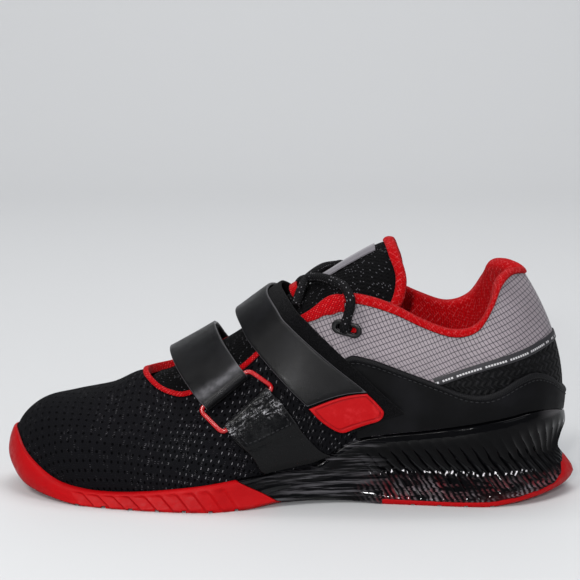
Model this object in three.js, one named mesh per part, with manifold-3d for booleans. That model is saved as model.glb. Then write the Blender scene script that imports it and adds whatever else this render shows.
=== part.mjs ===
// Weightlifting shoe for the left foot, standing empty on its sole. Millimetres, +Z up.
// The toe points to -X, the heel to +X and the outer side of the foot to -Y.
import * as THREE from 'three';
import * as BufferGeometryUtils from 'three/addons/utils/BufferGeometryUtils.js';
import Module from 'manifold-3d';

const wasm = await Module();
wasm.setup();

// Driving sizes of the last and the sole
const length = 304;
const ballWidth = 108;
const heelWidth = 86;
const forefootDeck = 6.5;
const heelLift = 21;
const instepHeight = 82;
const backHeight = 90;
const toeSpring = 5.5;
const archRise = 2.4;
const lipHeight = 20;
const ledge = 10;
const heelTread = 19;

// Thicknesses
const upperWall = 2.2;
const counterThickness = 1.2;
const bindingThickness = 1.1;
const bindingWidth = 3;
const bindingTopWidth = 5;
const bindingRise = 4.6;
const collarPadding = 4.5;
const collarRoll = 4;
const collarDepth = 24;
const collarFace = 1.3;
const collarBulge = 1.5;
const collarHem = 1;
const tongueThickness = 4.5;
const tongueSink = 3.6;
const insoleThickness = 4.5;
const strapThickness = 1.8;
const tabThickness = 1.2;
const labelThickness = 0.7;
const ringWire = 2.4;
const laceWidth = 5;
const eyeletLength = 16;
const eyeletWidth = 7.5;
const eyeletHoleLength = 10.5;
const eyeletHoleWidth = 3.2;
const eyeletThickness = 1.2;

// Ribs of the sole
const finPitch = 5.7;
const finDepth = 1.5;
const finLean = 26;
const lugPitch = 8.5;
const lugDepth = 1.3;
const lugLean = 9;
const treadWidth = 2.2;
const treadDepth = 1.3;

// Clearances
const gap = 0.3;
const cupGap = 0.6;
const insoleGap = 0.8;
const overlayGap = 0.45;
const foldGap = 0.6;
const layerGap = 0.6;
const strapRest = 3.3;
const bandRest = 1;
const ringPlay = 0.3;
const ringOver = 1.6;

// Stations from toe tip to heel back. Lengths are shares: x of the length, lateral and medial of the
// width, deck of the heel lift, spring of the toe spring, arch of the arch rise, lip of the lip height.
const outlineColumns = ['x', 'lateral', 'medial', 'deck', 'spring', 'arch', 'lip', 'profile'];
const outlineRows = [
  [-0.5, 0.102, 0.102, 0.12, 1.0, 0, 1.15, 0],
  [-0.49, -0.028, 0.222, 0.095, 0.8, 0, 1.06, 0.15],
  [-0.464, -0.157, 0.315, 0.06, 0.5, 0, 0.67, 0.45],
  [-0.414, -0.287, 0.398, 0.025, 0.27, 0, 0.24, 0.8],
  [-0.362, -0.37, 0.449, 0.005, 0, 0, 0.1, 1],
  [-0.306, -0.426, 0.477, 0, 0, 0, 0.09, 1],
  [-0.247, -0.468, 0.491, 0.005, 0, 0, 0.16, 1],
  [-0.188, -0.495, 0.491, 0.025, 0, 0, 0.25, 1],
  [-0.132, -0.5, 0.472, 0.085, 0, 0, 0.295, 1],
  [-0.072, -0.455, 0.432, 0.215, 0, 0, 0.26, 1.5],
  [-0.013, -0.401, 0.392, 0.38, 0, 0.9, 0.15, 2],
  [0.046, -0.376, 0.376, 0.55, 0, 1, 0.09, 2.1],
  [0.105, -0.377, 0.382, 0.715, 0, 0.75, 0.52, 2.7],
  [0.164, -0.414, 0.409, 0.833, 0, 0, 0.6, 3],
  [0.224, -0.457, 0.44, 0.905, 0, 0, 0.64, 3],
  [0.283, -0.488, 0.465, 0.952, 0, 0, 0.73, 3],
  [0.336, -0.5, 0.477, 0.976, 0, 0, 0.84, 3],
  [0.382, -0.471, 0.453, 1, 0.3, 0, 0.92, 3],
  [0.421, -0.401, 0.395, 1, 0.58, 0, 1, 3.2],
  [0.454, -0.302, 0.308, 1, 0.8, 0, 0.99, 3.5],
  [0.48, -0.18, 0.198, 1, 0.94, 0, 0.9, 3.8],
  [0.495, -0.076, 0.093, 1, 1, 0, 0.8, 4],
  [0.5, 0.006, 0.006, 1, 1.02, 0, 0.76, 4],
];

// The wall of the last at the same stations: seat is the share of the ledge by which its foot stands
// inside the sole, rise and swell shape the wall above its foot, over and drop shape it below the rim.
const lastColumns = ['seat', 'rise', 'swell', 'over', 'drop'];
const lastRows = [
  [0.45, 0.45, 0.08, 0.436, 0.104],
  [0.47, 0.445, 0.08, 0.41, 0.102],
  [0.52, 0.43, 0.075, 0.355, 0.1],
  [0.57, 0.395, 0.068, 0.285, 0.105],
  [0.6, 0.35, 0.06, 0.232, 0.112],
  [0.6, 0.31, 0.056, 0.197, 0.12],
  [0.6, 0.29, 0.056, 0.167, 0.144],
  [0.6, 0.28, 0.051, 0.148, 0.16],
  [0.62, 0.293, 0.046, 0.13, 0.183],
  [0.66, 0.317, 0.046, 0.112, 0.207],
  [0.7, 0.336, 0.048, 0.086, 0.228],
  [0.7, 0.341, 0.045, 0.06, 0.26],
  [0.72, 0.345, 0.042, 0.032, 0.276],
  [0.78, 0.338, 0.045, 0.017, 0.293],
  [0.85, 0.312, 0.052, 0.017, 0.267],
  [0.92, 0.289, 0.06, 0.023, 0.222],
  [0.96, 0.278, 0.073, 0.023, 0.2],
  [1, 0.278, 0.086, 0.047, 0.2],
  [1.05, 0.289, 0.1, 0.081, 0.222],
  [1.12, 0.3, 0.12, 0.128, 0.256],
  [1.18, 0.306, 0.138, 0.174, 0.278],
  [1.22, 0.306, 0.148, 0.192, 0.287],
  [1.22, 0.306, 0.15, 0.195, 0.287],
];

// The rim of the throat and collar: x of the length, y of the width, z of the height above the deck.
const rimColumns = ['rimX', 'lateralY', 'lateralZ', 'medialY', 'medialZ'];
const rimRows = [
  [-0.253, 0.028, 0.652, 0.028, 0.652],
  [-0.252, -0.014, 0.65, 0.065, 0.659],
  [-0.247, -0.051, 0.64, 0.106, 0.663],
  [-0.237, -0.093, 0.622, 0.148, 0.671],
  [-0.224, -0.13, 0.602, 0.185, 0.676],
  [-0.207, -0.157, 0.585, 0.213, 0.683],
  [-0.184, -0.181, 0.578, 0.231, 0.706],
  [-0.155, -0.19, 0.61, 0.241, 0.744],
  [-0.122, -0.194, 0.65, 0.241, 0.783],
  [-0.082, -0.2, 0.706, 0.242, 0.822],
  [-0.039, -0.21, 0.8, 0.244, 0.871],
  [0.01, -0.236, 0.894, 0.251, 0.929],
  [0.066, -0.287, 0.942, 0.292, 0.965],
  [0.112, -0.336, 0.912, 0.336, 0.946],
  [0.171, -0.382, 0.835, 0.382, 0.873],
  [0.23, -0.395, 0.733, 0.395, 0.778],
  [0.28, -0.395, 0.678, 0.395, 0.722],
  [0.319, -0.378, 0.706, 0.384, 0.761],
  [0.344, -0.337, 0.828, 0.337, 0.883],
  [0.36, -0.267, 0.944, 0.267, 0.983],
  [0.38, -0.163, 0.994, 0.163, 1.011],
  [0.4, -0.07, 0.994, 0.073, 1],
  [0.409, 0.002, 0.981, 0.002, 0.981],
];

// The crest of the instep over the throat, station by station: x, y and z as in the rim's table.
const crestColumns = ['x', 'y', 'z'];
const crestRows = [
  [-0.253, 0.028, 0.652],
  [-0.25, 0.028, 0.665],
  [-0.243, 0.03, 0.685],
  [-0.232, 0.032, 0.707],
  [-0.217, 0.037, 0.715],
  [-0.197, 0.037, 0.745],
  [-0.173, 0.037, 0.79],
  [-0.145, 0.037, 0.845],
  [-0.115, 0.032, 0.9],
  [-0.082, 0.028, 0.95],
  [-0.043, 0.024, 1.01],
  [0.003, 0.02, 1.065],
  [0.056, 0.016, 1.11],
  [0.105, 0.011, 1.166],
  [0.155, 0.006, 1.224],
  [0.204, 0, 1.24],
];
const crestSpread = 0.22;

// The side of the sole from floor to lip: height is the share of that height, and the other columns
// are insets from the outline, shares of the ledge, at the toe, ball, waist, heel side and heel back.
const sideColumns = ['height', 'toe', 'ball', 'waist', 'heel', 'back'];
const sideRows = [
  [0, 0.9, 0.14, 0.3, 0.08, 0.16],
  [0.1, 0.45, 0, 0.08, 0, 0],
  [0.28, 0.12, 0.02, 0.2, 0.28, 0.35],
  [0.45, 0, 0.04, 0.36, 0.62, 0.82],
  [0.62, 0.02, 0.08, 0.42, 0.52, 0.72],
  [0.86, 0.18, 0.14, 0.46, 0.34, 0.48],
  [1, 0.34, 0.24, 0.5, 0.42, 0.55],
];

// Top of the rubber under the heel unit by station, as a share of the heel tread height.
const treadTopRows = [
  [12, 0.17], [14, 0.14], [15, 0.13], [16, 0.15], [17, 0.23], [18, 0.33], [19, 0.43], [19.6, 0.6],
  [20.2, 0.86], [21, 0.96], [22, 1],
];

const lastStation = outlineRows.length - 1;
const around = 2 * lastStation;
const crestStation = crestRows.length - 1;

// Column values in ring order: lateral side from toe to heel, then the medial side back to the toe.
function ringValues(rows, columns, lateralName, medialName = lateralName) {
  const lateral = rows.map((row) => row[columns.indexOf(lateralName)]);
  const medial = rows.map((row) => row[columns.indexOf(medialName)]);
  return [...lateral, ...medial.slice(1, -1).reverse()];
}

const ring = {
  x: ringValues(outlineRows, outlineColumns, 'x'),
  y: ringValues(outlineRows, outlineColumns, 'lateral', 'medial'),
  deck: ringValues(outlineRows, outlineColumns, 'deck'),
  spring: ringValues(outlineRows, outlineColumns, 'spring'),
  arch: ringValues(outlineRows, outlineColumns, 'arch'),
  lip: ringValues(outlineRows, outlineColumns, 'lip'),
  profile: ringValues(outlineRows, outlineColumns, 'profile'),
  seat: ringValues(lastRows, lastColumns, 'seat'),
  rise: ringValues(lastRows, lastColumns, 'rise'),
  swell: ringValues(lastRows, lastColumns, 'swell'),
  over: ringValues(lastRows, lastColumns, 'over'),
  drop: ringValues(lastRows, lastColumns, 'drop'),
  rimX: ringValues(rimRows, rimColumns, 'rimX'),
  rimY: ringValues(rimRows, rimColumns, 'lateralY', 'medialY'),
  rimZ: ringValues(rimRows, rimColumns, 'lateralZ', 'medialZ'),
};

function catmullRom(a, b, c, d, f) {
  const straight = 2 * b;
  const slope = (c - a) * f;
  const bend = (2 * a - 5 * b + 4 * c - d) * f * f;
  const twist = (3 * b - a - 3 * c + d) * f * f * f;
  return (straight + slope + bend + twist) / 2;
}

// Value of a named column at any place s round the shoe, 0 at the toe and lastStation at the heel.
function at(name, s) {
  const values = ring[name];
  const turned = ((s % around) + around) % around;
  const i = Math.floor(turned);
  const pick = (k) => values[(i + k + around) % around];
  return catmullRom(pick(-1), pick(0), pick(1), pick(2), turned - i);
}

function smooth(low, high, value) {
  const f = THREE.MathUtils.clamp((value - low) / (high - low), 0, 1);
  return f * f * (3 - 2 * f);
}

// How much of a section belongs to the forefoot: 1 at the ball, 0 at the heel.
const forefootEndShare = -0.1;
const heelStartShare = 0.25;
function frontShare(xShare) {
  return 1 - smooth(forefootEndShare, heelStartShare, xShare);
}

function widthAt(xShare) {
  return heelWidth + (ballWidth - heelWidth) * frontShare(xShare);
}

function heightAt(xShare) {
  return backHeight + (instepHeight - backHeight) * frontShare(xShare);
}

function deckAt(s) {
  return forefootDeck + heelLift * at('deck', s);
}

function floorAt(s) {
  return Math.max(0, toeSpring * at('spring', s) + archRise * at('arch', s));
}

function lipAt(s) {
  return deckAt(s) + lipHeight * at('lip', s);
}

function edgeAt(s) {
  const xShare = at('x', s);
  return new THREE.Vector3(xShare * length, at('y', s) * widthAt(xShare), 0);
}

// Level direction out of the outline.
const smallStep = 0.02;
function outwardAt(s) {
  const along = edgeAt(s + smallStep).sub(edgeAt(s - smallStep));
  return new THREE.Vector3(along.y, -along.x, 0).normalize();
}

function bezier(handles, v) {
  const u = 1 - v;
  const point = handles[0].clone().multiplyScalar(u * u * u);
  point.addScaledVector(handles[1], 3 * u * u * v);
  point.addScaledVector(handles[2], 3 * u * v * v);
  return point.addScaledVector(handles[3], v * v * v);
}

// Four handles of the last's wall at s, from its foot on the deck to the rim.
function wallHandles(s) {
  const xShare = at('x', s);
  const width = widthAt(xShare);
  const height = heightAt(xShare);
  const out = outwardAt(s);
  const foot = edgeAt(s).addScaledVector(out, -ledge * at('seat', s)).setZ(deckAt(s));
  const low = foot.clone().addScaledVector(out, width * at('swell', s));
  low.z += height * at('rise', s);
  const rim = new THREE.Vector3(at('rimX', s) * length, at('rimY', s) * width, 0);
  rim.z = deckAt(s) + height * at('rimZ', s);
  const high = rim.clone().addScaledVector(out, width * at('over', s));
  high.z -= height * at('drop', s);
  return [foot, low, high, rim];
}

function wallPoint(s, v) {
  return bezier(wallHandles(s), v);
}

function liftedPoint(surface, a, b, lift) {
  const point = surface(a, b);
  const alongA = surface(a + smallStep, b).sub(surface(a - smallStep, b));
  const alongB = surface(a, b + smallStep).sub(surface(a, b - smallStep));
  return point.addScaledVector(alongA.cross(alongB).normalize(), lift);
}

// Outer face of the upper at s, from foot (v 0) to rim (v 1), moved out by lift.
function skin(s, v, lift) {
  return liftedPoint(wallPoint, s, v, lift);
}

// Share v at which the wall reaches height z.
function wallShare(s, z) {
  const handles = wallHandles(s);
  let low = 0;
  let high = 1;
  const halvings = 24;
  for (let i = 0; i < halvings; i += 1) {
    const middle = (low + high) / 2;
    if (bezier(handles, middle).z < z) low = middle;
    else high = middle;
  }
  return (low + high) / 2;
}

function crestAt(t) {
  const place = THREE.MathUtils.clamp(t, 0, crestStation - 0.001);
  const i = Math.floor(place);
  const value = (column) => {
    const pick = (k) => crestRows[THREE.MathUtils.clamp(i + k, 0, crestStation)][column];
    return catmullRom(pick(-1), pick(0), pick(1), pick(2), place - i);
  };
  const xShare = at('x', t);
  const z = deckAt(t) + heightAt(xShare) * value(crestColumns.indexOf('z'));
  return new THREE.Vector3(value(0) * length, value(1) * widthAt(xShare), z);
}

// The whole body across station t: q 0 to 1 up the lateral wall, 1 to 2 over the open throat,
// 2 to 3 down the medial wall.
function bodyPoint(t, q) {
  if (q <= 1) return bezier(wallHandles(t), q);
  if (q >= 2) return bezier(wallHandles(-t), 3 - q);
  const lateralRim = wallHandles(t)[3];
  const medialRim = wallHandles(-t)[3];
  const middle = lateralRim.clone().lerp(medialRim, 0.5);
  const lift = crestAt(t).sub(middle).multiplyScalar(4 / 3);
  const first = lateralRim.clone().lerp(medialRim, crestSpread).add(lift);
  const second = medialRim.clone().lerp(lateralRim, crestSpread).add(lift);
  return bezier([lateralRim, first, second, medialRim], q - 1);
}

function body(t, q, lift) {
  return liftedPoint(bodyPoint, t, q, lift);
}

// Distance along the lateral outline from the toe, and the station at a distance.
const outlineSteps = 20;
const outlineDistances = [0];
for (let i = 1; i <= lastStation * outlineSteps; i += 1) {
  const step = edgeAt(i / outlineSteps).distanceTo(edgeAt((i - 1) / outlineSteps));
  outlineDistances.push(outlineDistances[i - 1] + step);
}
const outlineLength = outlineDistances[outlineDistances.length - 1];

function stationAtDistance(distance) {
  const d = THREE.MathUtils.clamp(distance, 0, outlineLength);
  let i = 1;
  while (i < outlineDistances.length - 1 && outlineDistances[i] < d) i += 1;
  const f = (d - outlineDistances[i - 1]) / (outlineDistances[i] - outlineDistances[i - 1]);
  return (i - 1 + f) / outlineSteps;
}

function distanceAtStation(t) {
  const place = t * outlineSteps;
  const i = Math.min(Math.floor(place), outlineDistances.length - 2);
  return THREE.MathUtils.lerp(outlineDistances[i], outlineDistances[i + 1], place - i);
}

// Mesh from points and triangles, with its faces turned outwards.
function closedGeometry(points, triangles) {
  let volume = 0;
  for (const [a, b, c] of triangles) {
    volume += points[a].dot(new THREE.Vector3().crossVectors(points[b], points[c]));
  }
  const index = triangles.flatMap(([a, b, c]) => (volume > 0 ? [a, b, c] : [a, c, b]));
  const geometry = new THREE.BufferGeometry();
  geometry.setAttribute('position', new THREE.Float32BufferAttribute(points.flatMap((p) => p.toArray()), 3));
  geometry.setIndex(index);
  return geometry;
}

// Loft through closed sections. A closed loft joins its last section to its first, and an open one
// has flat ends, made from the given triangles or as a strip between the section's two halves.
function loft(sections, { closed = false, endTriangles = null } = {}) {
  const count = sections[0].length;
  const triangles = [];
  const last = closed ? sections.length : sections.length - 1;
  for (let i = 0; i < last; i += 1) {
    const here = i * count;
    const next = ((i + 1) % sections.length) * count;
    for (let j = 0; j < count; j += 1) {
      const k = (j + 1) % count;
      triangles.push([here + j, next + j, next + k], [here + j, next + k, here + k]);
    }
  }
  if (!closed) {
    const ends = endTriangles ?? stripTriangles(count);
    const end = (sections.length - 1) * count;
    for (const [a, b, c] of ends) triangles.push([a, b, c], [end + a, end + c, end + b]);
  }
  return closedGeometry(sections.flat(), triangles);
}

function stripTriangles(count) {
  const triangles = [];
  for (let i = 0; i < count / 2 - 1; i += 1) {
    const j = count - 1 - i;
    triangles.push([i, i + 1, j - 1], [i, j - 1, j]);
  }
  return triangles;
}

// Solid from rings stacked from its underside to its top, each ring in order round the shoe.
function stack(rings) {
  const count = rings[0].length;
  const half = count / 2;
  const triangles = [];
  for (let i = 0; i < rings.length - 1; i += 1) {
    for (let j = 0; j < count; j += 1) {
      const k = (j + 1) % count;
      const here = i * count;
      const next = here + count;
      triangles.push([here + j, here + k, next + k], [here + j, next + k, next + j]);
    }
  }
  const ladder = (start, flip) => {
    for (let j = 0; j < half; j += 1) {
      const a = start + j;
      const b = start + j + 1;
      const c = start + ((count - j - 1) % count);
      const d = start + ((count - j) % count);
      if (j < half - 1) triangles.push(flip ? [a, c, b] : [a, b, c]);
      if (j > 0) triangles.push(flip ? [a, d, c] : [a, c, d]);
    }
  };
  ladder(0, true);
  ladder((rings.length - 1) * count, false);
  return closedGeometry(rings.flat(), triangles);
}

// Triangles that fill a drawn section, wound the way its points run.
function fillTriangles(drawn) {
  const flat = drawn.map(([x, y]) => new THREE.Vector2(x, y));
  const windsLeft = THREE.ShapeUtils.area(flat) > 0;
  return THREE.ShapeUtils.triangulateShape(flat, []).map(([a, b, c]) => {
    const facesLeft = THREE.ShapeUtils.area([flat[a], flat[b], flat[c]]) > 0;
    return facesLeft === windsLeft ? [a, b, c] : [a, c, b];
  });
}

function toManifold(geometry) {
  const plain = geometry.clone();
  plain.deleteAttribute('normal');
  plain.deleteAttribute('uv');
  const merged = BufferGeometryUtils.mergeVertices(plain);
  return new wasm.Manifold(new wasm.Mesh({
    numProp: 3,
    vertProperties: new Float32Array(merged.attributes.position.array),
    triVerts: new Uint32Array(merged.index.array),
  }));
}

function fromManifold(solid) {
  const mesh = solid.getMesh();
  const geometry = new THREE.BufferGeometry();
  geometry.setAttribute('position', new THREE.BufferAttribute(new Float32Array(mesh.vertProperties), 3));
  geometry.setIndex(new THREE.BufferAttribute(new Uint32Array(mesh.triVerts), 1));
  return geometry;
}

// Evenly spread values from first to last, both included.
function spread(first, last, steps) {
  return Array.from({ length: steps + 1 }, (_, i) => first + ((last - first) * i) / steps);
}

// Full ring of places from the stations of one side: lateral out, medial back.
function bothSides(stations) {
  return [...stations, ...stations.slice(1, -1).reverse().map((t) => -t)];
}

// Sole

// Inset of the sole's side at s, row by row of the side's table.
function sideInset(s, row) {
  const profile = at('profile', s);
  const left = Math.floor(THREE.MathUtils.clamp(profile, 0, 3.999));
  const inset = THREE.MathUtils.lerp(sideRows[row][left + 1], sideRows[row][left + 2], profile - left);
  return ledge * inset;
}

function sidePoint(s, row, ribInset) {
  const floor = floorAt(s);
  const z = THREE.MathUtils.lerp(floor, lipAt(s), sideRows[row][0]);
  return edgeAt(s).addScaledVector(outwardAt(s), -sideInset(s, row) - ribInset).setZ(z);
}

// Blank of the whole sole: underside, ribbed side, lip, and the cup that the upper's foot stands in.
// columns are distances from the toe with their rib depth; lean slants the ribs' tops to the toe.
const cupShares = [1, 0.5, 0];
function soleBlank(columns, lean) {
  const leanAt = (distance, height) => lean(distance) * (0.5 - height);
  const places = (height) => {
    const stations = columns.map(({ distance }) => stationAtDistance(distance + leanAt(distance, height)));
    stations[0] = 0;
    stations[stations.length - 1] = lastStation;
    return bothSides(stations);
  };
  const ribs = bothSides(columns.map(({ rib }) => rib)).map((rib) => Math.abs(rib));
  const rings = sideRows.map(([height], row) => places(height).map((s, i) => {
    const ribShare = 1 - smooth(0.7, 0.9, height);
    return sidePoint(s, row, ribs[i] * ribShare);
  }));
  const inside = places(1);
  for (const share of cupShares) {
    rings.push(inside.map((s) => {
      const v = wallShare(s, lipAt(s)) * share;
      const point = skin(s, v, cupGap);
      if (share === 1) point.z = lipAt(s);
      if (share === 0) point.z = deckAt(s) - gap;
      return point;
    }));
  }
  return toManifold(stack(rings));
}

// Large block whose flat side cuts along a slanted line across the sole.
const cutSize = 600;
function slantBlock(x, z, angle, side) {
  const block = new THREE.BoxGeometry(cutSize, cutSize, cutSize);
  block.translate((side * cutSize) / 2, 0, 0);
  block.rotateY(angle);
  block.translate(x, 0, z);
  return toManifold(block);
}

// Grooves across the tread, each a bar from side to side.
function treadGrooves(rows, depth) {
  const grooves = rows.map(([xShare, turn]) => {
    const bar = new THREE.BoxGeometry(treadWidth, ballWidth * 1.3, 2 * depth);
    bar.rotateZ(turn);
    bar.translate(xShare * length, 0, 0);
    return toManifold(bar);
  });
  return grooves.reduce((all, bar) => all.add(bar));
}

// The forefoot rubber ends on a slanted face under the arch, where the heel unit begins.
const jointX = -0.06;
const jointZ = 10;
const jointAngle = -1.05;

const lugStart = distanceAtStation(3.9);
const lugEnd = distanceAtStation(8.4);
const lugLand = 0.6;
const lugTrough = 0.8;
function forefootColumns() {
  const columns = spread(0, lugStart - 3, 9).map((distance) => ({ distance, rib: 0 }));
  const pitches = Math.round((lugEnd - lugStart) / lugPitch);
  for (let i = 0; i < pitches; i += 1) {
    const start = lugStart + i * lugPitch;
    columns.push({ distance: start, rib: 0 });
    columns.push({ distance: start + lugPitch * lugLand, rib: 0 });
    columns.push({ distance: start + lugPitch * lugTrough, rib: lugDepth });
  }
  const end = lugStart + pitches * lugPitch;
  return columns.concat(spread(end, outlineLength, 12).map((distance) => ({ distance, rib: 0 })));
}

// Tread grooves of the forefoot and heel: place as a share of the length, and turn.
const forefootGrooves = [
  [-0.38, 0.12], [-0.335, 0.12], [-0.29, 0.12], [-0.245, 0.12], [-0.2, 0.12], [-0.155, 0.12], [-0.11, 0.12],
];
const heelGrooves = [[0.21, 0], [0.255, 0], [0.3, 0], [0.345, 0]];
const heelGrooveDepth = 0.8;

function leanInside(start, end, amount, fade) {
  return (distance) => {
    const begin = smooth(start - fade, start, distance);
    const finish = 1 - smooth(end, end + fade, distance);
    return amount * begin * finish;
  };
}

function makeForefootOutsole() {
  const lean = leanInside(lugStart, lugEnd, lugLean, 25);
  const blank = soleBlank(forefootColumns(), lean);
  const rear = slantBlock(jointX * length, jointZ, jointAngle, 1);
  const cut = blank.subtract(rear);
  return fromManifold(cut.subtract(treadGrooves(forefootGrooves, treadDepth)));
}

const finStart = distanceAtStation(12.7);
const finFade = 40;
function heelColumns() {
  const bare = spread(0, distanceAtStation(8), 6).map((distance) => ({ distance, rib: 0 }));
  const smoothSide = spread(distanceAtStation(8.5), finStart - finPitch, 9);
  for (const distance of smoothSide) bare.push({ distance, rib: 0 });
  const pitches = Math.floor((outlineLength - finStart) / finPitch);
  const pitch = (outlineLength - finStart) / pitches;
  for (let i = 0; i < pitches; i += 1) {
    bare.push({ distance: finStart + i * pitch, rib: finDepth });
    bare.push({ distance: finStart + (i + 0.5) * pitch, rib: 0 });
  }
  bare.push({ distance: outlineLength, rib: finDepth });
  return bare;
}

// Slab under the heel whose top is the upper face of the heel rubber.
function treadTopAt(t) {
  let i = 1;
  while (i < treadTopRows.length - 1 && treadTopRows[i][0] < t) i += 1;
  const [beforeT, before] = treadTopRows[i - 1];
  const [afterT, after] = treadTopRows[i];
  return heelTread * THREE.MathUtils.lerp(before, after, smooth(beforeT, afterT, t));
}

const slabOver = 6;
function treadSlab(raised) {
  const stations = bothSides(spread(11, lastStation, 22));
  const side = (s, z) => edgeAt(s).addScaledVector(outwardAt(s), slabOver).setZ(z);
  const under = stations.map((s) => side(s, -slabOver));
  const top = stations.map((s) => side(s, treadTopAt(Math.abs(s)) + raised));
  return toManifold(stack([under, top]));
}

const heelRubberStart = 0.158;
function makeHeelParts() {
  const lean = leanInside(finStart, outlineLength - finFade, finLean, finFade);
  const blank = soleBlank(heelColumns(), lean);
  const front = slantBlock(jointX * length + gap, jointZ + gap, jointAngle, -1);
  const behindJoint = blank.subtract(front);
  const forward = (x) => slantBlock(x, 0, 0, -1);
  const rubberSlab = treadSlab(0).subtract(forward(heelRubberStart * length));
  const clearSlab = treadSlab(gap).subtract(forward(heelRubberStart * length - gap));
  const rubber = behindJoint.intersect(rubberSlab).subtract(treadGrooves(heelGrooves, heelGrooveDepth));
  return { unit: fromManifold(behindJoint.subtract(clearSlab)), rubber: fromManifold(rubber) };
}

// Upper

const upperShares = [0, 0.14, 0.32, 0.52, 0.71, 0.87, 1];
const upperStations = [
  0, 0.6, 1.2, 2, 3, 4, 5, 6, 7, 8, 9, 10, 11, 12, 12.5, 13, 14, 15, 16, 16.6, 17.2, 17.8, 18.4, 19, 19.7,
  20.5, 21.3, 22,
];

function wallSection(s, shares, outerLift, innerLift) {
  const outer = shares.map((v) => skin(s, v, outerLift));
  const inner = shares.map((v) => skin(s, v, innerLift)).reverse();
  return [...outer, ...inner];
}

function stadium(widthAcross, heightAcross) {
  const radius = heightAcross / 2;
  const reach = widthAcross / 2 - radius;
  const shape = new THREE.Shape();
  shape.absarc(reach, 0, radius, -Math.PI / 2, Math.PI / 2, false);
  shape.absarc(-reach, 0, radius, Math.PI / 2, (3 * Math.PI) / 2, false);
  shape.closePath();
  return shape;
}

// Places flat work on the body: its z along the outward normal, its x turned from the foot's length.
const eyeletTurn = 0.24;
function onBody(geometry, t, q, lift, turn) {
  const origin = body(t, q, lift);
  const normal = body(t, q, lift + 1).sub(origin).normalize();
  const along = bodyPoint(t + smallStep, q).sub(bodyPoint(t - smallStep, q)).normalize();
  const across = new THREE.Vector3().crossVectors(normal, along).normalize();
  along.crossVectors(across, normal);
  const x = along.clone().multiplyScalar(Math.cos(turn)).addScaledVector(across, Math.sin(turn));
  const y = new THREE.Vector3().crossVectors(normal, x);
  const matrix = new THREE.Matrix4().makeBasis(x, y, normal).setPosition(origin);
  return geometry.applyMatrix4(matrix);
}

const eyelets = [
  { name: 'eyelet_lateral', t: 12.6, q: 0.83, turn: -eyeletTurn },
  { name: 'eyelet_medial', t: 12.6, q: 2.17, turn: eyeletTurn },
];

const arcSegments = 3;
function eyeletHole({ t, q, turn }) {
  const shape = stadium(eyeletHoleLength, eyeletHoleWidth);
  const depth = 4 * upperWall;
  const hole = new THREE.ExtrudeGeometry(shape, { depth, bevelEnabled: false, curveSegments: arcSegments });
  hole.translate(0, 0, -depth / 2);
  return toManifold(onBody(hole, t, q, 0, turn));
}

function makeUpper() {
  const sections = bothSides(upperStations).map((s) => wallSection(s, upperShares, 0, -upperWall));
  const shell = toManifold(loft(sections, { closed: true }));
  return fromManifold(eyelets.reduce((solid, eyelet) => solid.subtract(eyeletHole(eyelet)), shell));
}

function makeEyelet({ t, q, turn }) {
  const shape = stadium(eyeletLength, eyeletWidth);
  shape.holes.push(stadium(eyeletHoleLength, eyeletHoleWidth));
  const options = { depth: eyeletThickness, bevelEnabled: false, curveSegments: arcSegments };
  const ringPlate = new THREE.ExtrudeGeometry(shape, options);
  return onBody(ringPlate, t, q, 2 * gap, turn);
}

// Insole on the deck, inside the foot of the upper.
function makeInsole() {
  const stations = bothSides(upperStations);
  const ringAt = (height) => stations.map((s) => {
    const z = deckAt(s) + height;
    return skin(s, wallShare(s, z), -upperWall - insoleGap).setZ(z);
  });
  return stack([ringAt(0), ringAt(insoleThickness)]);
}

// Stiff counter round the heel and the waist, over the upper and above the lip: its top edge by station.
const counterTopRows = [
  [12.2, 0.62], [12.6, 0.65], [13, 0.64], [14.1, 0.58], [14.9, 0.54], [15.6, 0.49], [16.4, 0.47],
  [17.2, 0.48], [18.2, 0.48], [19, 0.46], [19.8, 0.41], [20.6, 0.35], [21.3, 0.32], [22, 0.31],
];
function counterTop(t) {
  let i = 1;
  while (i < counterTopRows.length - 1 && counterTopRows[i][0] < t) i += 1;
  const [beforeT, before] = counterTopRows[i - 1];
  const [afterT, after] = counterTopRows[i];
  return THREE.MathUtils.lerp(before, after, (t - beforeT) / (afterT - beforeT));
}

const counterLift = overlayGap + counterThickness;
function makeCounter() {
  const rows = counterTopRows.map(([t]) => t);
  const places = [...rows, ...rows.slice(0, -1).reverse().map((t) => around - t)];
  const sections = places.map((s) => {
    const t = Math.min(s, around - s);
    const low = wallShare(s, lipAt(s) + 2 * gap);
    const high = counterTop(t);
    return wallSection(s, spread(low, high, 4), counterLift, overlayGap);
  });
  return loft(sections);
}

// Trim that follows the rim. Its section is drawn in millimetres: up past the rim, and out of the wall.
function rimPoint(s, up, out) {
  const rim = wallPoint(s, 1);
  const below = wallPoint(s, 1 - smallStep);
  const rise = rim.clone().sub(below);
  const wallLength = rise.length() / smallStep;
  if (up <= 0) return skin(s, 1 + up / wallLength, out);
  return skin(s, 1, out).addScaledVector(rise.normalize(), up);
}

function rimTrim(places, sectionAt) {
  const endTriangles = fillTriangles(sectionAt(places[0]));
  const sections = places.map((s) => sectionAt(s).map(([up, out]) => rimPoint(s, up, out)));
  return loft(sections, { endTriangles });
}

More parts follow.
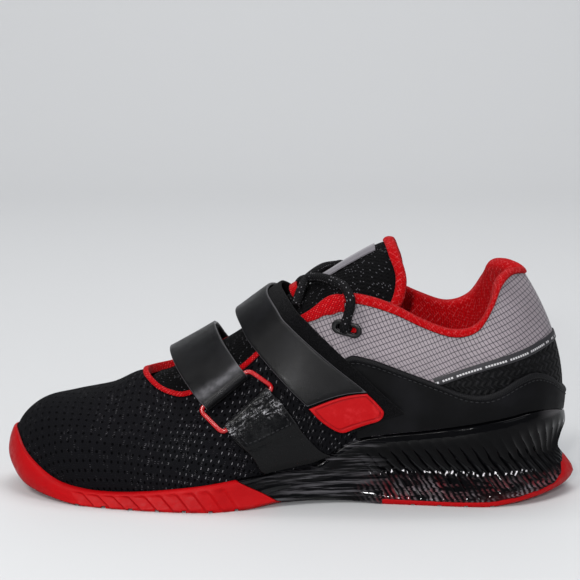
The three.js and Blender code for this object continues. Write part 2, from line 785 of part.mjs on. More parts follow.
const bindingEndStation = 12.45;
const bindingRiseStations = [11.35, 11.7, 12.05];
const bindingInside = 0.6;
function makeThroatBinding() {
  const over = foldGap + bindingThickness;
  const inside = -upperWall - bindingInside;
  const section = (s) => {
    const t = Math.min(Math.abs(s), around - Math.abs(s));
    const wide = THREE.MathUtils.lerp(bindingWidth, bindingTopWidth, smooth(10.6, 12, t));
    const puffed = smooth(bindingRiseStations[0], bindingRiseStations[2], t);
    const rise = THREE.MathUtils.lerp(over, bindingRise, puffed);
    const outside = [[-wide, foldGap], [-wide, over], [rise, over]];
    return [...outside, [rise, inside], [foldGap, inside], [foldGap, foldGap]];
  };
  const plain = upperStations.filter((t) => t < bindingRiseStations[0]);
  const side = [...plain, ...bindingRiseStations, bindingEndStation];
  const places = [...[...side].reverse().map((t) => -t), ...side.slice(1)];
  return rimTrim(places, section);
}

// Padded collar: a roll on the rim and a pad down the inside.
const collarStartStation = 12.5;
function collarPad(t) {
  return collarPadding * (0.35 + 0.65 * smooth(collarStartStation, 15.5, t));
}
function makeCollarPad() {
  const inner = -upperWall - gap;
  const section = (s) => {
    const t = Math.min(s, around - s);
    const pad = inner - collarPad(t);
    const roll = collarRoll * (1.2 - 0.2 * smooth(13.5, 15.5, t));
    return [
      [gap, gap], [gap, collarFace], [0.6 * roll, collarBulge], [roll, 0], [roll, inner - 0.4 * collarPad(t)],
      [0.5 * roll, pad], [-0.55 * collarDepth, pad], [-collarDepth, inner - collarHem], [-collarDepth, inner],
      [gap, inner],
    ];
  };
  const side = upperStations.filter((t) => t >= collarStartStation);
  const places = [...side, ...side.slice(0, -1).reverse().map((t) => around - t)];
  return rimTrim(places, section);
}

// Tongue

const tongueStartStation = 3.4;
const tongueTopStation = 14.3;
const tongueSideShare = 0.1;

// How far the tongue's top edge runs past its station, by the distance of the share from the crest.
const tongueTopRows = [[0, 0], [0.2, 0.12], [0.34, 0.24], [0.43, 0.04], [0.5, -0.32], [0.6, -0.55]];
function tongueTop(q) {
  const d = Math.abs(q - 1.5);
  let i = 1;
  while (i < tongueTopRows.length - 1 && tongueTopRows[i][0] < d) i += 1;
  const [beforeD, before] = tongueTopRows[i - 1];
  const [afterD, after] = tongueTopRows[i];
  return tongueTopStation + THREE.MathUtils.lerp(before, after, (d - beforeD) / (afterD - beforeD));
}

// Depth of the tongue's outer face under the body, more where the collar's pad lies beside it.
function tongueDrop(t, q) {
  const beside = 1 - smooth(0, 0.35, Math.min(Math.abs(q - 1), Math.abs(2 - q)));
  const sideShare = q < 1 || q > 2 ? 1 : beside;
  const padded = collarPad(t) + 2 * foldGap + bindingThickness;
  return tongueSink + padded * smooth(collarStartStation - 0.6, collarStartStation, t) * sideShare;
}

function tonguePoint(t, q, lift) {
  return body(t, q, lift - tongueDrop(t, q));
}

const tongueShares = [
  1 - tongueSideShare, 1, 1.12, 1.26, 1.42, 1.58, 1.74, 1.88, 2, 2 + tongueSideShare,
];

const tongueStraightStation = 12.5;
function tongueSection(t, outerLift, innerLift) {
  const place = (q) => t + (tongueTop(q) - tongueTopStation) * smooth(tongueStraightStation, tongueTopStation, t);
  const outer = tongueShares.map((q) => tonguePoint(place(q), q, outerLift));
  const inner = tongueShares.map((q) => tonguePoint(place(q), q, innerLift)).reverse();
  return [...outer, ...inner];
}

// The tongue's front runs on under the vamp, down along the slope of the toe.
const tongueReach = 18;
const tongueSlope = 0.62;
function makeTongue() {
  const stations = [tongueStartStation, 4.2, 5, 6, 7, 8, 9, 10, 11, 11.9, 12.5, 13.1, 13.7, tongueTopStation];
  const sections = stations.map((t) => tongueSection(t, 0, -tongueThickness));
  const front = [1, 0.5].map((share) => sections[0].map((point) => {
    const reach = tongueReach * share;
    return point.clone().add(new THREE.Vector3(-reach, 0, -reach * tongueSlope));
  }));
  return loft([...front, ...sections]);
}

// Knit band folded over the tongue's top edge: along is millimetres past that edge.
const bandOnTongue = 3.4;
const bandBehindTongue = 3.4;
function makeTongueBinding() {
  const over = foldGap + bindingThickness;
  const drawn = [
    [-bandOnTongue, foldGap], [-bandOnTongue, over], [over, over], [over, -tongueThickness - over],
    [-bandBehindTongue, -tongueThickness - over], [-bandBehindTongue, -tongueThickness - foldGap],
    [foldGap, -tongueThickness - foldGap], [foldGap, foldGap],
  ];
  const endTriangles = fillTriangles(drawn);
  const sections = tongueShares.map((q) => {
    const top = tongueTop(q);
    const edge = tonguePoint(top, q, 0);
    const before = tonguePoint(top - 0.5, q, 0);
    const perStation = edge.distanceTo(before) / 0.5;
    const ahead = edge.clone().sub(before).normalize();
    return drawn.map(([along, out]) => {
      if (along < 0) return tonguePoint(top + along / perStation, q, out);
      return tonguePoint(top, q, out).addScaledVector(ahead, along);
    });
  });
  return loft(sections, { endTriangles });
}

// Plain strip along the crest of the tongue.
const labelStations = [11.9, 12.4, 12.9, 13.4, 13.75];
const labelShares = [1.39, 1.45, 1.5, 1.55, 1.61];
function makeTongueLabel() {
  const sections = labelStations.map((t) => {
    const outer = labelShares.map((q) => tonguePoint(t, q, gap + labelThickness));
    const inner = labelShares.map((q) => tonguePoint(t, q, gap)).reverse();
    return [...outer, ...inner];
  });
  return loft(sections);
}

// Straps

// A flat band through rows of points across its width, left to right.
function band(rows, thickness) {
  const middles = rows.map((row) => row[0].clone().lerp(row[row.length - 1], 0.5));
  const sections = rows.map((row, i) => {
    const before = middles[Math.max(i - 1, 0)];
    const after = middles[Math.min(i + 1, rows.length - 1)];
    const across = row[row.length - 1].clone().sub(row[0]);
    const up = after.clone().sub(before).cross(across).normalize().multiplyScalar(thickness / 2);
    const top = row.map((p) => p.clone().add(up));
    const bottom = [...row].reverse().map((p) => p.clone().sub(up));
    return [...top, ...bottom];
  });
  return loft(sections);
}

// Row across the body between two edge places, [station, share], at one lift and above the sole's lip.
const acrossSteps = 3;
function bodyRow([leftT, leftQ], [rightT, rightQ], lift) {
  return spread(0, 1, acrossSteps).map((f) => {
    const t = THREE.MathUtils.lerp(leftT, rightT, f);
    const q = THREE.MathUtils.lerp(leftQ, rightQ, f);
    const side = q < 1.5 ? t : -t;
    const lipShare = wallShare(side, lipAt(side) + 2 * cupGap);
    return body(t, THREE.MathUtils.clamp(q, lipShare, 3 - lipShare), lift);
  });
}

// Straight bar between two edge places, lifted clear of the body's swell under its middle.
function barRowAt([left, right], lift) {
  const curved = bodyRow(left, right, lift);
  const ends = [curved[0], curved[acrossSteps]];
  const middle = body((left[0] + right[0]) / 2, (left[1] + right[1]) / 2, lift);
  const swell = middle.sub(ends[0].clone().lerp(ends[1], 0.5));
  return spread(0, 1, acrossSteps).map((f) => ends[0].clone().lerp(ends[1], f).add(swell));
}

// Half turn of a band round a bar at the given row: heading is the side on which it turns.
const foldRadius = ringWire / 2 + ringPlay + strapThickness / 2;
const foldAngles = spread(-Math.PI / 2, Math.PI / 2, 4);
function foldRows(bar, heading, normal) {
  return foldAngles.map((angle) => bar.map((point) => {
    const turned = point.clone().addScaledVector(heading, foldRadius * Math.cos(angle));
    return turned.addScaledVector(normal, foldRadius * Math.sin(angle));
  }));
}

// Band that comes up under a bar, turns round it and runs back over itself.
function foldedBand(under, bar, over, rest) {
  const inner = rest + strapThickness / 2;
  const barLift = inner + foldRadius;
  const outer = inner + strapThickness + layerGap;
  const barRow = barRowAt(bar, barLift);
  const normal = barRowAt(bar, barLift + 1)[1].sub(barRow[1]).normalize();
  const lastUnder = under[under.length - 1];
  const from = bodyRow(lastUnder[0], lastUnder[1], barLift)[1];
  const across = barRow[acrossSteps].clone().sub(barRow[0]).normalize();
  const heading = barRow[1].clone().sub(from);
  heading.addScaledVector(across, -heading.dot(across));
  heading.addScaledVector(normal, -heading.dot(normal)).normalize();
  const rows = [
    ...under.map(([left, right]) => bodyRow(left, right, inner)),
    ...foldRows(barRow, heading, normal),
    ...over.map(([left, right]) => bodyRow(left, right, outer)),
  ];
  return { geometry: band(rows, strapThickness), barRow };
}

// Rings: a rounded oblong of round wire between two bars.
const ringCorner = 3.5;
const wireSides = 6;
const cornerSteps = 3;
function makeRing(firstBar, secondBar) {
  const stretched = (bar) => {
    const across = bar[acrossSteps].clone().sub(bar[0]).normalize().multiplyScalar(ringOver + ringWire / 2);
    return [bar[0].clone().sub(across), bar[acrossSteps].clone().add(across)];
  };
  const [a, b] = stretched(firstBar);
  const [d, c] = stretched(secondBar);
  const corners = [a, b, c, d];
  const path = corners.flatMap((corner, i) => {
    const before = corners[(i + 3) % 4];
    const after = corners[(i + 1) % 4];
    const start = corner.clone().addScaledVector(before.clone().sub(corner).normalize(), ringCorner);
    const end = corner.clone().addScaledVector(after.clone().sub(corner).normalize(), ringCorner);
    return new THREE.QuadraticBezierCurve3(start, corner, end).getPoints(cornerSteps);
  });
  const face = new THREE.Vector3().crossVectors(b.clone().sub(a), d.clone().sub(a)).normalize();
  const sections = path.map((point, i) => {
    const before = path[(i + path.length - 1) % path.length];
    const along = path[(i + 1) % path.length].clone().sub(before).normalize();
    const side = new THREE.Vector3().crossVectors(along, face).normalize();
    const lift = new THREE.Vector3().crossVectors(side, along);
    return Array.from({ length: wireSides }, (_, k) => {
      const angle = (2 * Math.PI * k) / wireSides;
      const spoke = side.clone().multiplyScalar(Math.cos(angle)).addScaledVector(lift, Math.sin(angle));
      return point.clone().addScaledVector(spoke, ringWire / 2);
    });
  });
  return loft(sections, { closed: true });
}

// Edge places are [station, share]. The forefoot strap rises from the medial sole, crosses the instep,
// turns round the lateral ring and runs back over itself to its free end on the medial side.
const forefootUnder = [
  [[7.6, 2.9], [9.6, 2.9]], [[7.3, 2.7], [9.4, 2.7]], [[6.9, 2.45], [9.1, 2.45]], [[6.2, 2.2], [8.7, 2.2]],
  [[5.6, 2.03], [8.3, 2.05]], [[5, 1.85], [8, 1.85]], [[4.75, 1.6], [7.87, 1.65]], [[5.1, 1.31], [8, 1.42]],
  [[5.83, 1.1], [8.35, 1.2]], [[6.6, 0.93], [8.8, 1.06]],
];
const forefootBar = [[7.45, 0.76], [9.15, 0.92]];
const forefootOver = [
  [[6.6, 0.93], [8.8, 1.06]], [[5.83, 1.1], [8.35, 1.2]], [[5.1, 1.31], [8, 1.42]], [[4.75, 1.6], [7.87, 1.65]],
  [[5, 1.85], [8, 1.85]], [[5.6, 2.03], [8.3, 2.05]], [[6.2, 2.2], [8.7, 2.2]], [[6.75, 2.4], [9, 2.4]],
];
const forefootTab = [
  [[6.8, 2.42], [9.02, 2.42]], [[6.95, 2.48], [9.2, 2.48]], [[7.2, 2.56], [9.25, 2.56]], [[7.6, 2.6], [9, 2.6]],
];

// The instep strap rises from the lateral side, turns round the medial ring and comes back.
const instepUnder = [
  [[12.06, 0.18], [13.7, 0.29]], [[11.5, 0.28], [13.3, 0.42]], [[10.95, 0.42], [12.44, 0.6]],
  [[10.6, 0.56], [11.93, 0.73]], [[10.25, 0.72], [11.49, 0.9]], [[9.91, 0.89], [11.18, 1.07]],
  [[9.5, 1.09], [10.95, 1.24]], [[9.19, 1.24], [10.84, 1.4]], [[9, 1.5], [10.75, 1.6]],
  [[9.1, 1.75], [10.9, 1.8]], [[9.5, 1.97], [11.3, 2]],
];
const instepBar = [[9.95, 2.13], [11.7, 2.16]];
const instepOver = [
  [[9.5, 1.97], [11.1, 2]], [[9.1, 1.75], [10.6, 1.8]], [[8.95, 1.5], [10.4, 1.58]],
  [[9.19, 1.24], [10.42, 1.38]], [[9.5, 1.09], [10.64, 1.16]], [[9.91, 0.89], [10.84, 1]],
  [[10.22, 0.7], [11.31, 0.79]], [[10.52, 0.56], [11.84, 0.61]], [[10.91, 0.42], [12.78, 0.43]],
];
const instepTab = [
  [[10.95, 0.395], [12.78, 0.4]], [[11.2, 0.31], [13.12, 0.32]], [[11.45, 0.25], [13.15, 0.28]],
  [[11.8, 0.2], [12.7, 0.225]],
];

// Short bands that hold the rings, each folded round the ring's other bar.
const lateralAnchorUnder = [
  [[9.5, 0.06], [11.6, 0.04]], [[9.1, 0.24], [11.07, 0.13]], [[8.75, 0.34], [10.6, 0.3]],
  [[8.5, 0.43], [10.25, 0.48]],
];
const lateralAnchorBar = [[8.3, 0.52], [9.85, 0.66]];
const lateralAnchorOver = [[[8.5, 0.43], [10.25, 0.48]], [[8.95, 0.28], [10.65, 0.28]]];
const medialAnchorUnder = [
  [[10.9, 2.92], [12.7, 2.9]], [[10.7, 2.75], [12.5, 2.75]], [[10.45, 2.55], [12.2, 2.55]],
];
const medialAnchorBar = [[10.2, 2.36], [11.95, 2.37]];
const medialAnchorOver = [[[10.45, 2.52], [12.2, 2.52]], [[10.55, 2.65], [12.35, 2.65]]];

const strapForefoot = foldedBand(forefootUnder, forefootBar, forefootOver, strapRest);
const strapInstep = foldedBand(instepUnder, instepBar, instepOver, strapRest);
const anchorForefoot = foldedBand(lateralAnchorUnder, lateralAnchorBar, lateralAnchorOver, bandRest);
const anchorInstep = foldedBand(medialAnchorUnder, medialAnchorBar, medialAnchorOver, strapRest);

function makeTab(rows) {
  const lift = strapRest + strapThickness + layerGap + tabThickness / 2;
  return band(rows.map(([left, right]) => bodyRow(left, right, lift)), tabThickness);
}

// Lace: two strands that cross on the tongue and rise to the top eyelets. Each place has its station,
// its share of the body, and the height of the strand's underside over the upper or the tongue, as a
// share of the lace's width. The first places lie over the upper.
const laceArcs = 4;
const laceRows = [
  [12.55, 0.84, 0.48], [12.75, 0.92, 0.72], [12.88, 1, 0.95], [12.75, 1.07, 1.95], [12.45, 1.15, 1.3],
  [12.1, 1.25, 0.55], [11.8, 1.37, 0.18], [11.5, 1.5, 0.08], [11.25, 1.7, 0.12], [11.05, 1.84, 0.1],
];
const laceOverUpper = 3;

function lacePoint([t, q, clear], place, mirrored) {
  const share = mirrored ? 3 - q : q;
  const lift = (clear + 0.5) * laceWidth;
  return place < laceOverUpper ? body(t, share, lift) : tonguePoint(t, share, lift);
}

function laceTube(mirrored) {
  const route = new THREE.CatmullRomCurve3(laceRows.map((row, place) => lacePoint(row, place, mirrored)));
  const shape = new THREE.Shape();
  shape.absarc(0, 0, laceWidth / 2, 0, 2 * Math.PI, false);
  const options = { steps: 11, extrudePath: route, bevelEnabled: false, curveSegments: laceArcs };
  return toManifold(new THREE.ExtrudeGeometry(shape, options));
}

function makeLace() {
  return fromManifold(laceTube(false).add(laceTube(true)));
}

// Loop on the tongue under which the lace crosses.
const keeperStation = 11.05;
const keeperHalf = 0.13;
const keeperRows = [[1.36, 0], [1.38, 0.5], [1.42, 0.95], [1.5, 1], [1.58, 0.95], [1.62, 0.5], [1.64, 0]];
const keeperHeight = 3;
function makeLaceKeeper() {
  const foot = gap + tabThickness / 2;
  const rows = keeperRows.map(([q, share]) => [-keeperHalf, 0, keeperHalf].map((step) => {
    return tonguePoint(keeperStation + step, q, foot + keeperHeight * share);
  }));
  return band(rows, tabThickness);
}

// Colours
const red = 0xb8161f;
const black = 0x121214;
const smoke = 0x1a1a1c;
const grey = 0x9c9894;

function piece(name, geometry, color, roughness, metalness = 0) {
  const mesh = new THREE.Mesh(geometry, new THREE.MeshStandardMaterial({ color, roughness, metalness }));
  mesh.name = name;
  return mesh;
}

const heel = makeHeelParts();
const shoe = new THREE.Group();
shoe.add(piece('outsole_forefoot', makeForefootOutsole(), red, 0.6));
shoe.add(piece('outsole_heel', heel.rubber, red, 0.6));
shoe.add(piece('heel_unit', heel.unit, smoke, 0.15));
shoe.add(piece('upper', makeUpper(), black, 0.85));
shoe.add(piece('insole', makeInsole(), black, 0.9));
shoe.add(piece('counter', makeCounter(), black, 0.55));
shoe.add(piece('collar_pad', makeCollarPad(), red, 0.9));
shoe.add(piece('throat_binding', makeThroatBinding(), red, 0.8));
shoe.add(piece('tongue', makeTongue(), black, 0.9));
shoe.add(piece('tongue_binding', makeTongueBinding(), red, 0.9));
shoe.add(piece('tongue_label', makeTongueLabel(), grey, 0.6));
for (const eyelet of eyelets) shoe.add(piece(eyelet.name, makeEyelet(eyelet), black, 0.5));
shoe.add(piece('lace', makeLace(), black, 0.9));
shoe.add(piece('lace_keeper', makeLaceKeeper(), red, 0.8));
shoe.add(piece('strap_forefoot', strapForefoot.geometry, black, 0.35));
shoe.add(piece('strap_instep', strapInstep.geometry, black, 0.35));
shoe.add(piece('anchor_forefoot', anchorForefoot.geometry, black, 0.3));
shoe.add(piece('anchor_instep', anchorInstep.geometry, black, 0.3));
shoe.add(piece('ring_forefoot', makeRing(strapForefoot.barRow, anchorForefoot.barRow), red, 0.3, 0.6));
shoe.add(piece('ring_instep', makeRing(strapInstep.barRow, anchorInstep.barRow), red, 0.3, 0.6));
shoe.add(piece('tab_instep', makeTab(instepTab), red, 0.6));
shoe.add(piece('tab_forefoot', makeTab(forefootTab), red, 0.6));

export default shoe;
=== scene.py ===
import math

import bmesh
import bpy
import numpy as np
from bpy.props import FloatProperty, FloatVectorProperty, PointerProperty
from bpy.types import Operator, Panel, PropertyGroup
from mathutils import Matrix, Vector


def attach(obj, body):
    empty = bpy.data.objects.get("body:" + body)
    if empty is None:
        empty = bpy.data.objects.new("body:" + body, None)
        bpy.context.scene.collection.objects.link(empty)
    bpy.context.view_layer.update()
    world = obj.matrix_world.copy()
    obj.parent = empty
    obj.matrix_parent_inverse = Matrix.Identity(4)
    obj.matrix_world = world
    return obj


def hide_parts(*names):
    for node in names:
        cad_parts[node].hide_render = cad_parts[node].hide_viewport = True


bl_info = {
    "name": "Weightlifting Shoe",
    "version": (1, 0, 0),
    "blender": (4, 5, 0),
    "location": "3D View > Sidebar > Shoe",
    "description": "Builds the finely finished pieces of a weightlifting shoe round its packed solids",
    "category": "Add Mesh",
}

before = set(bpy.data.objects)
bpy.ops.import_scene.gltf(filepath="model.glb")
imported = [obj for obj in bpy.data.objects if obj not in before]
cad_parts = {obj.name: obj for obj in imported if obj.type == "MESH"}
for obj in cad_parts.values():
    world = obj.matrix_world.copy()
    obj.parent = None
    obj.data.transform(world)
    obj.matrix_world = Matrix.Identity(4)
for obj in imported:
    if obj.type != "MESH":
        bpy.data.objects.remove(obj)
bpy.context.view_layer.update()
MM = 0.001

# Tables of shares, row by row from the toe to the heel. Outline: x, lateral, medial, deck, spring,
# arch, lip and kind of side. Last: seat, rise, swell, over, drop. Rim: x, lateral y and z, medial
# y and z. Crest of the instep: x, y, z.
OUTLINE_ROWS = (
    (-0.5, 0.102, 0.102, 0.12, 1, 0, 1.15, 0), (-0.49, -0.028, 0.222, 0.095, 0.8, 0, 1.06, 0.15),
    (-0.464, -0.157, 0.315, 0.06, 0.5, 0, 0.67, 0.45),
    (-0.414, -0.287, 0.398, 0.025, 0.27, 0, 0.24, 0.8),
    (-0.362, -0.37, 0.449, 0.005, 0, 0, 0.1, 1), (-0.306, -0.426, 0.477, 0, 0, 0, 0.09, 1),
    (-0.247, -0.468, 0.491, 0.005, 0, 0, 0.16, 1), (-0.188, -0.495, 0.491, 0.025, 0, 0, 0.25, 1),
    (-0.132, -0.5, 0.472, 0.085, 0, 0, 0.295, 1), (-0.072, -0.455, 0.432, 0.215, 0, 0, 0.26, 1.5),
    (-0.013, -0.401, 0.392, 0.38, 0, 0.9, 0.15, 2), (0.046, -0.376, 0.376, 0.55, 0, 1, 0.09, 2.1),
    (0.105, -0.377, 0.382, 0.715, 0, 0.75, 0.52, 2.7), (0.164, -0.414, 0.409, 0.833, 0, 0, 0.6, 3),
    (0.224, -0.457, 0.44, 0.905, 0, 0, 0.64, 3), (0.283, -0.488, 0.465, 0.952, 0, 0, 0.73, 3),
    (0.336, -0.5, 0.477, 0.976, 0, 0, 0.84, 3), (0.382, -0.471, 0.453, 1, 0.3, 0, 0.92, 3),
    (0.421, -0.401, 0.395, 1, 0.58, 0, 1, 3.2), (0.454, -0.302, 0.308, 1, 0.8, 0, 0.99, 3.5),
    (0.48, -0.18, 0.198, 1, 0.94, 0, 0.9, 3.8), (0.495, -0.076, 0.093, 1, 1, 0, 0.8, 4),
    (0.5, 0.006, 0.006, 1, 1.02, 0, 0.76, 4),
)
LAST_ROWS = (
    (0.45, 0.45, 0.08, 0.436, 0.104), (0.47, 0.445, 0.08, 0.41, 0.102),
    (0.52, 0.43, 0.075, 0.355, 0.1), (0.57, 0.395, 0.068, 0.285, 0.105),
    (0.6, 0.35, 0.06, 0.232, 0.112), (0.6, 0.31, 0.056, 0.197, 0.12),
    (0.6, 0.29, 0.056, 0.167, 0.144), (0.6, 0.28, 0.051, 0.148, 0.16),
    (0.62, 0.293, 0.046, 0.13, 0.183), (0.66, 0.317, 0.046, 0.112, 0.207),
    (0.7, 0.336, 0.048, 0.086, 0.228), (0.7, 0.341, 0.045, 0.06, 0.26),
    (0.72, 0.345, 0.042, 0.032, 0.276), (0.78, 0.338, 0.045, 0.017, 0.293),
    (0.85, 0.312, 0.052, 0.017, 0.267), (0.92, 0.289, 0.06, 0.023, 0.222),
    (0.96, 0.278, 0.073, 0.023, 0.2), (1, 0.278, 0.086, 0.047, 0.2),
    (1.05, 0.289, 0.1, 0.081, 0.222), (1.12, 0.3, 0.12, 0.128, 0.256),
    (1.18, 0.306, 0.138, 0.174, 0.278), (1.22, 0.306, 0.148, 0.192, 0.287),
    (1.22, 0.306, 0.15, 0.195, 0.287),
)
RIM_ROWS = (
    (-0.253, 0.028, 0.652, 0.028, 0.652), (-0.252, -0.014, 0.65, 0.065, 0.659),
    (-0.247, -0.051, 0.64, 0.106, 0.663), (-0.237, -0.093, 0.622, 0.148, 0.671),
    (-0.224, -0.13, 0.602, 0.185, 0.676), (-0.207, -0.157, 0.585, 0.213, 0.683),
    (-0.184, -0.181, 0.578, 0.231, 0.706), (-0.155, -0.19, 0.61, 0.241, 0.744),
    (-0.122, -0.194, 0.65, 0.241, 0.783), (-0.082, -0.2, 0.706, 0.242, 0.822),
    (-0.039, -0.21, 0.8, 0.244, 0.871), (0.01, -0.236, 0.894, 0.251, 0.929),
    (0.066, -0.287, 0.942, 0.292, 0.965), (0.112, -0.336, 0.912, 0.336, 0.946),
    (0.171, -0.382, 0.835, 0.382, 0.873), (0.23, -0.395, 0.733, 0.395, 0.778),
    (0.28, -0.395, 0.678, 0.395, 0.722), (0.319, -0.378, 0.706, 0.384, 0.761),
    (0.344, -0.337, 0.828, 0.337, 0.883), (0.36, -0.267, 0.944, 0.267, 0.983),
    (0.38, -0.163, 0.994, 0.163, 1.011), (0.4, -0.07, 0.994, 0.073, 1),
    (0.409, 0.002, 0.981, 0.002, 0.981),
)
CREST_ROWS = (
    (-0.253, 0.028, 0.652), (-0.25, 0.028, 0.665), (-0.243, 0.03, 0.685), (-0.232, 0.032, 0.707),
    (-0.217, 0.037, 0.715), (-0.197, 0.037, 0.745), (-0.173, 0.037, 0.79), (-0.145, 0.037, 0.845),
    (-0.115, 0.032, 0.9), (-0.082, 0.028, 0.95), (-0.043, 0.024, 1.01), (0.003, 0.02, 1.065),
    (0.056, 0.016, 1.11), (0.105, 0.011, 1.166), (0.155, 0.006, 1.224), (0.204, 0, 1.24),
)
SIDE_ROWS = (
    (0, 0.9, 0.14, 0.3, 0.08, 0.16), (0.1, 0.45, 0, 0.08, 0, 0),
    (0.28, 0.12, 0.02, 0.2, 0.28, 0.35), (0.45, 0, 0.04, 0.36, 0.62, 0.82),
    (0.62, 0.02, 0.08, 0.42, 0.52, 0.72), (0.86, 0.18, 0.14, 0.46, 0.34, 0.48),
    (1, 0.34, 0.24, 0.5, 0.42, 0.55),
)
TREAD_TOP_ROWS = (
    (12, 0.17), (14, 0.14), (15, 0.13), (16, 0.15), (17, 0.23), (18, 0.33), (19, 0.43),
    (19.6, 0.6), (20.2, 0.86), (21, 0.96), (22, 1),
)
COUNTER_TOP_ROWS = (
    (12.2, 0.62), (12.6, 0.65), (13, 0.64), (14.1, 0.58), (14.9, 0.54), (15.6, 0.49), (16.4, 0.47),
    (17.2, 0.48), (18.2, 0.48), (19, 0.46), (19.8, 0.41), (20.6, 0.35), (21.3, 0.32), (22, 0.31),
)
FOREFOOT_GROOVES = (-0.38, -0.335, -0.29, -0.245, -0.2, -0.155, -0.11)
HEEL_GROOVES = (0.21, 0.255, 0.3, 0.345)
LABEL_STATIONS = (11.9, 13.75)
LABEL_SHARES = (1.39, 1.61)
KEEPER_ROWS = (
    (1.36, 0), (1.38, 0.5), (1.42, 0.95), (1.5, 1), (1.58, 0.95), (1.62, 0.5), (1.64, 0),
)
LACE_ROWS = (
    (12.55, 0.84, 0.48), (12.75, 0.92, 0.72), (12.88, 1, 0.95), (12.75, 1.07, 1.95),
    (12.45, 1.15, 1.0), (12.1, 1.25, 0.4), (11.8, 1.37, 0.18), (11.5, 1.5, 0.08),
    (11.25, 1.7, 0.12), (11.05, 1.84, 0.1),
)
FOREFOOT_UNDER = (
    ((7.6, 2.9), (9.6, 2.9)), ((7.3, 2.7), (9.4, 2.7)), ((6.9, 2.45), (9.1, 2.45)),
    ((6.2, 2.2), (8.7, 2.2)), ((5.6, 2.03), (8.3, 2.05)), ((5, 1.85), (8, 1.85)),
    ((4.75, 1.6), (7.87, 1.65)), ((5.1, 1.31), (8, 1.42)), ((5.83, 1.1), (8.35, 1.2)),
    ((6.6, 0.93), (8.8, 1.06)),
)
FOREFOOT_BAR = ((7.45, 0.76), (9.15, 0.92))
FOREFOOT_OVER = FOREFOOT_UNDER[:2:-1] + (((6.75, 2.4), (9, 2.4)),)
FOREFOOT_TAB = (
    ((6.8, 2.42), (9.02, 2.42)), ((6.95, 2.48), (9.2, 2.48)), ((7.2, 2.56), (9.25, 2.56)),
    ((7.6, 2.6), (9, 2.6)),
)
INSTEP_UNDER = (
    ((12.06, 0.18), (13.7, 0.29)), ((11.5, 0.28), (13.3, 0.42)), ((10.95, 0.42), (12.44, 0.6)),
    ((10.6, 0.56), (11.93, 0.73)), ((10.25, 0.72), (11.49, 0.9)), ((9.91, 0.89), (11.18, 1.07)),
    ((9.5, 1.09), (10.95, 1.24)), ((9.19, 1.24), (10.84, 1.4)), ((9, 1.5), (10.75, 1.6)),
    ((9.1, 1.75), (10.9, 1.8)), ((9.5, 1.97), (11.3, 2)),
)
INSTEP_BAR = ((9.95, 2.13), (11.7, 2.16))
INSTEP_OVER = (
    ((9.5, 1.97), (11.1, 2)), ((9.1, 1.75), (10.6, 1.8)), ((8.95, 1.5), (10.4, 1.58)),
    ((9.19, 1.24), (10.42, 1.38)), ((9.5, 1.09), (10.64, 1.16)), ((9.91, 0.89), (10.84, 1)),
    ((10.22, 0.7), (11.31, 0.79)), ((10.52, 0.56), (11.84, 0.61)), ((10.91, 0.42), (12.78, 0.43)),
)
INSTEP_TAB = (
    ((10.95, 0.4), (12.78, 0.42)), ((11.2, 0.31), (13.0, 0.355)), ((11.45, 0.25), (13.12, 0.3)),
    ((11.75, 0.195), (13.0, 0.25)),
)
LATERAL_ANCHOR_UNDER = (
    ((9.5, 0.06), (11.6, 0.04)), ((9.1, 0.24), (11.07, 0.13)), ((8.75, 0.34), (10.6, 0.3)),
    ((8.5, 0.43), (10.25, 0.48)),
)
LATERAL_ANCHOR_BAR = ((8.3, 0.52), (9.85, 0.66))
LATERAL_ANCHOR_OVER = (((8.5, 0.43), (10.25, 0.48)), ((8.95, 0.28), (10.65, 0.28)))
MEDIAL_ANCHOR_UNDER = (
    ((10.9, 2.92), (12.7, 2.9)), ((10.7, 2.75), (12.5, 2.75)), ((10.45, 2.55), (12.2, 2.55)),
)
MEDIAL_ANCHOR_BAR = ((10.2, 2.36), (11.95, 2.37))
MEDIAL_ANCHOR_OVER = (((10.45, 2.52), (12.2, 2.52)), ((10.55, 2.65), (12.35, 2.65)))
TONGUE_TOP_ROWS = ((0, 0), (0.2, 0.12), (0.34, 0.24), (0.43, 0.04), (0.5, -0.32), (0.6, -0.55))

LAST_STATION = len(OUTLINE_ROWS) - 1
AROUND = 2 * LAST_STATION
SMALL_STEP = 0.02

GAP = 0.3
CUP_GAP = 0.6
INSOLE_GAP = 0.8
OVERLAY_GAP = 0.45
FOLD_GAP = 0.6
LAYER_GAP = 0.6
EDGING = 1.1
STRAP_REST = 3.3
BAND_REST = 1.0


def smooth(low, high, value):
    f = np.clip((value - low) / (high - low), 0.0, 1.0)
    return f * f * (3.0 - 2.0 * f)


def catmull(a, b, c, d, f):
    bend = (2 * a - 5 * b + 4 * c - d) * f * f
    twist = (3 * b - a - 3 * c + d) * f * f * f
    return (2 * b + (c - a) * f + bend + twist) / 2


def bezier(handles, v):
    v = np.asarray(v, float)[..., None]
    u = 1 - v
    a, b, c, d = handles
    return u * u * u * a + 3 * u * u * v * b + 3 * u * v * v * c + v * v * v * d


def unit(vectors):
    length = np.linalg.norm(vectors, axis=-1, keepdims=True)
    return vectors / np.maximum(length, 1e-9)


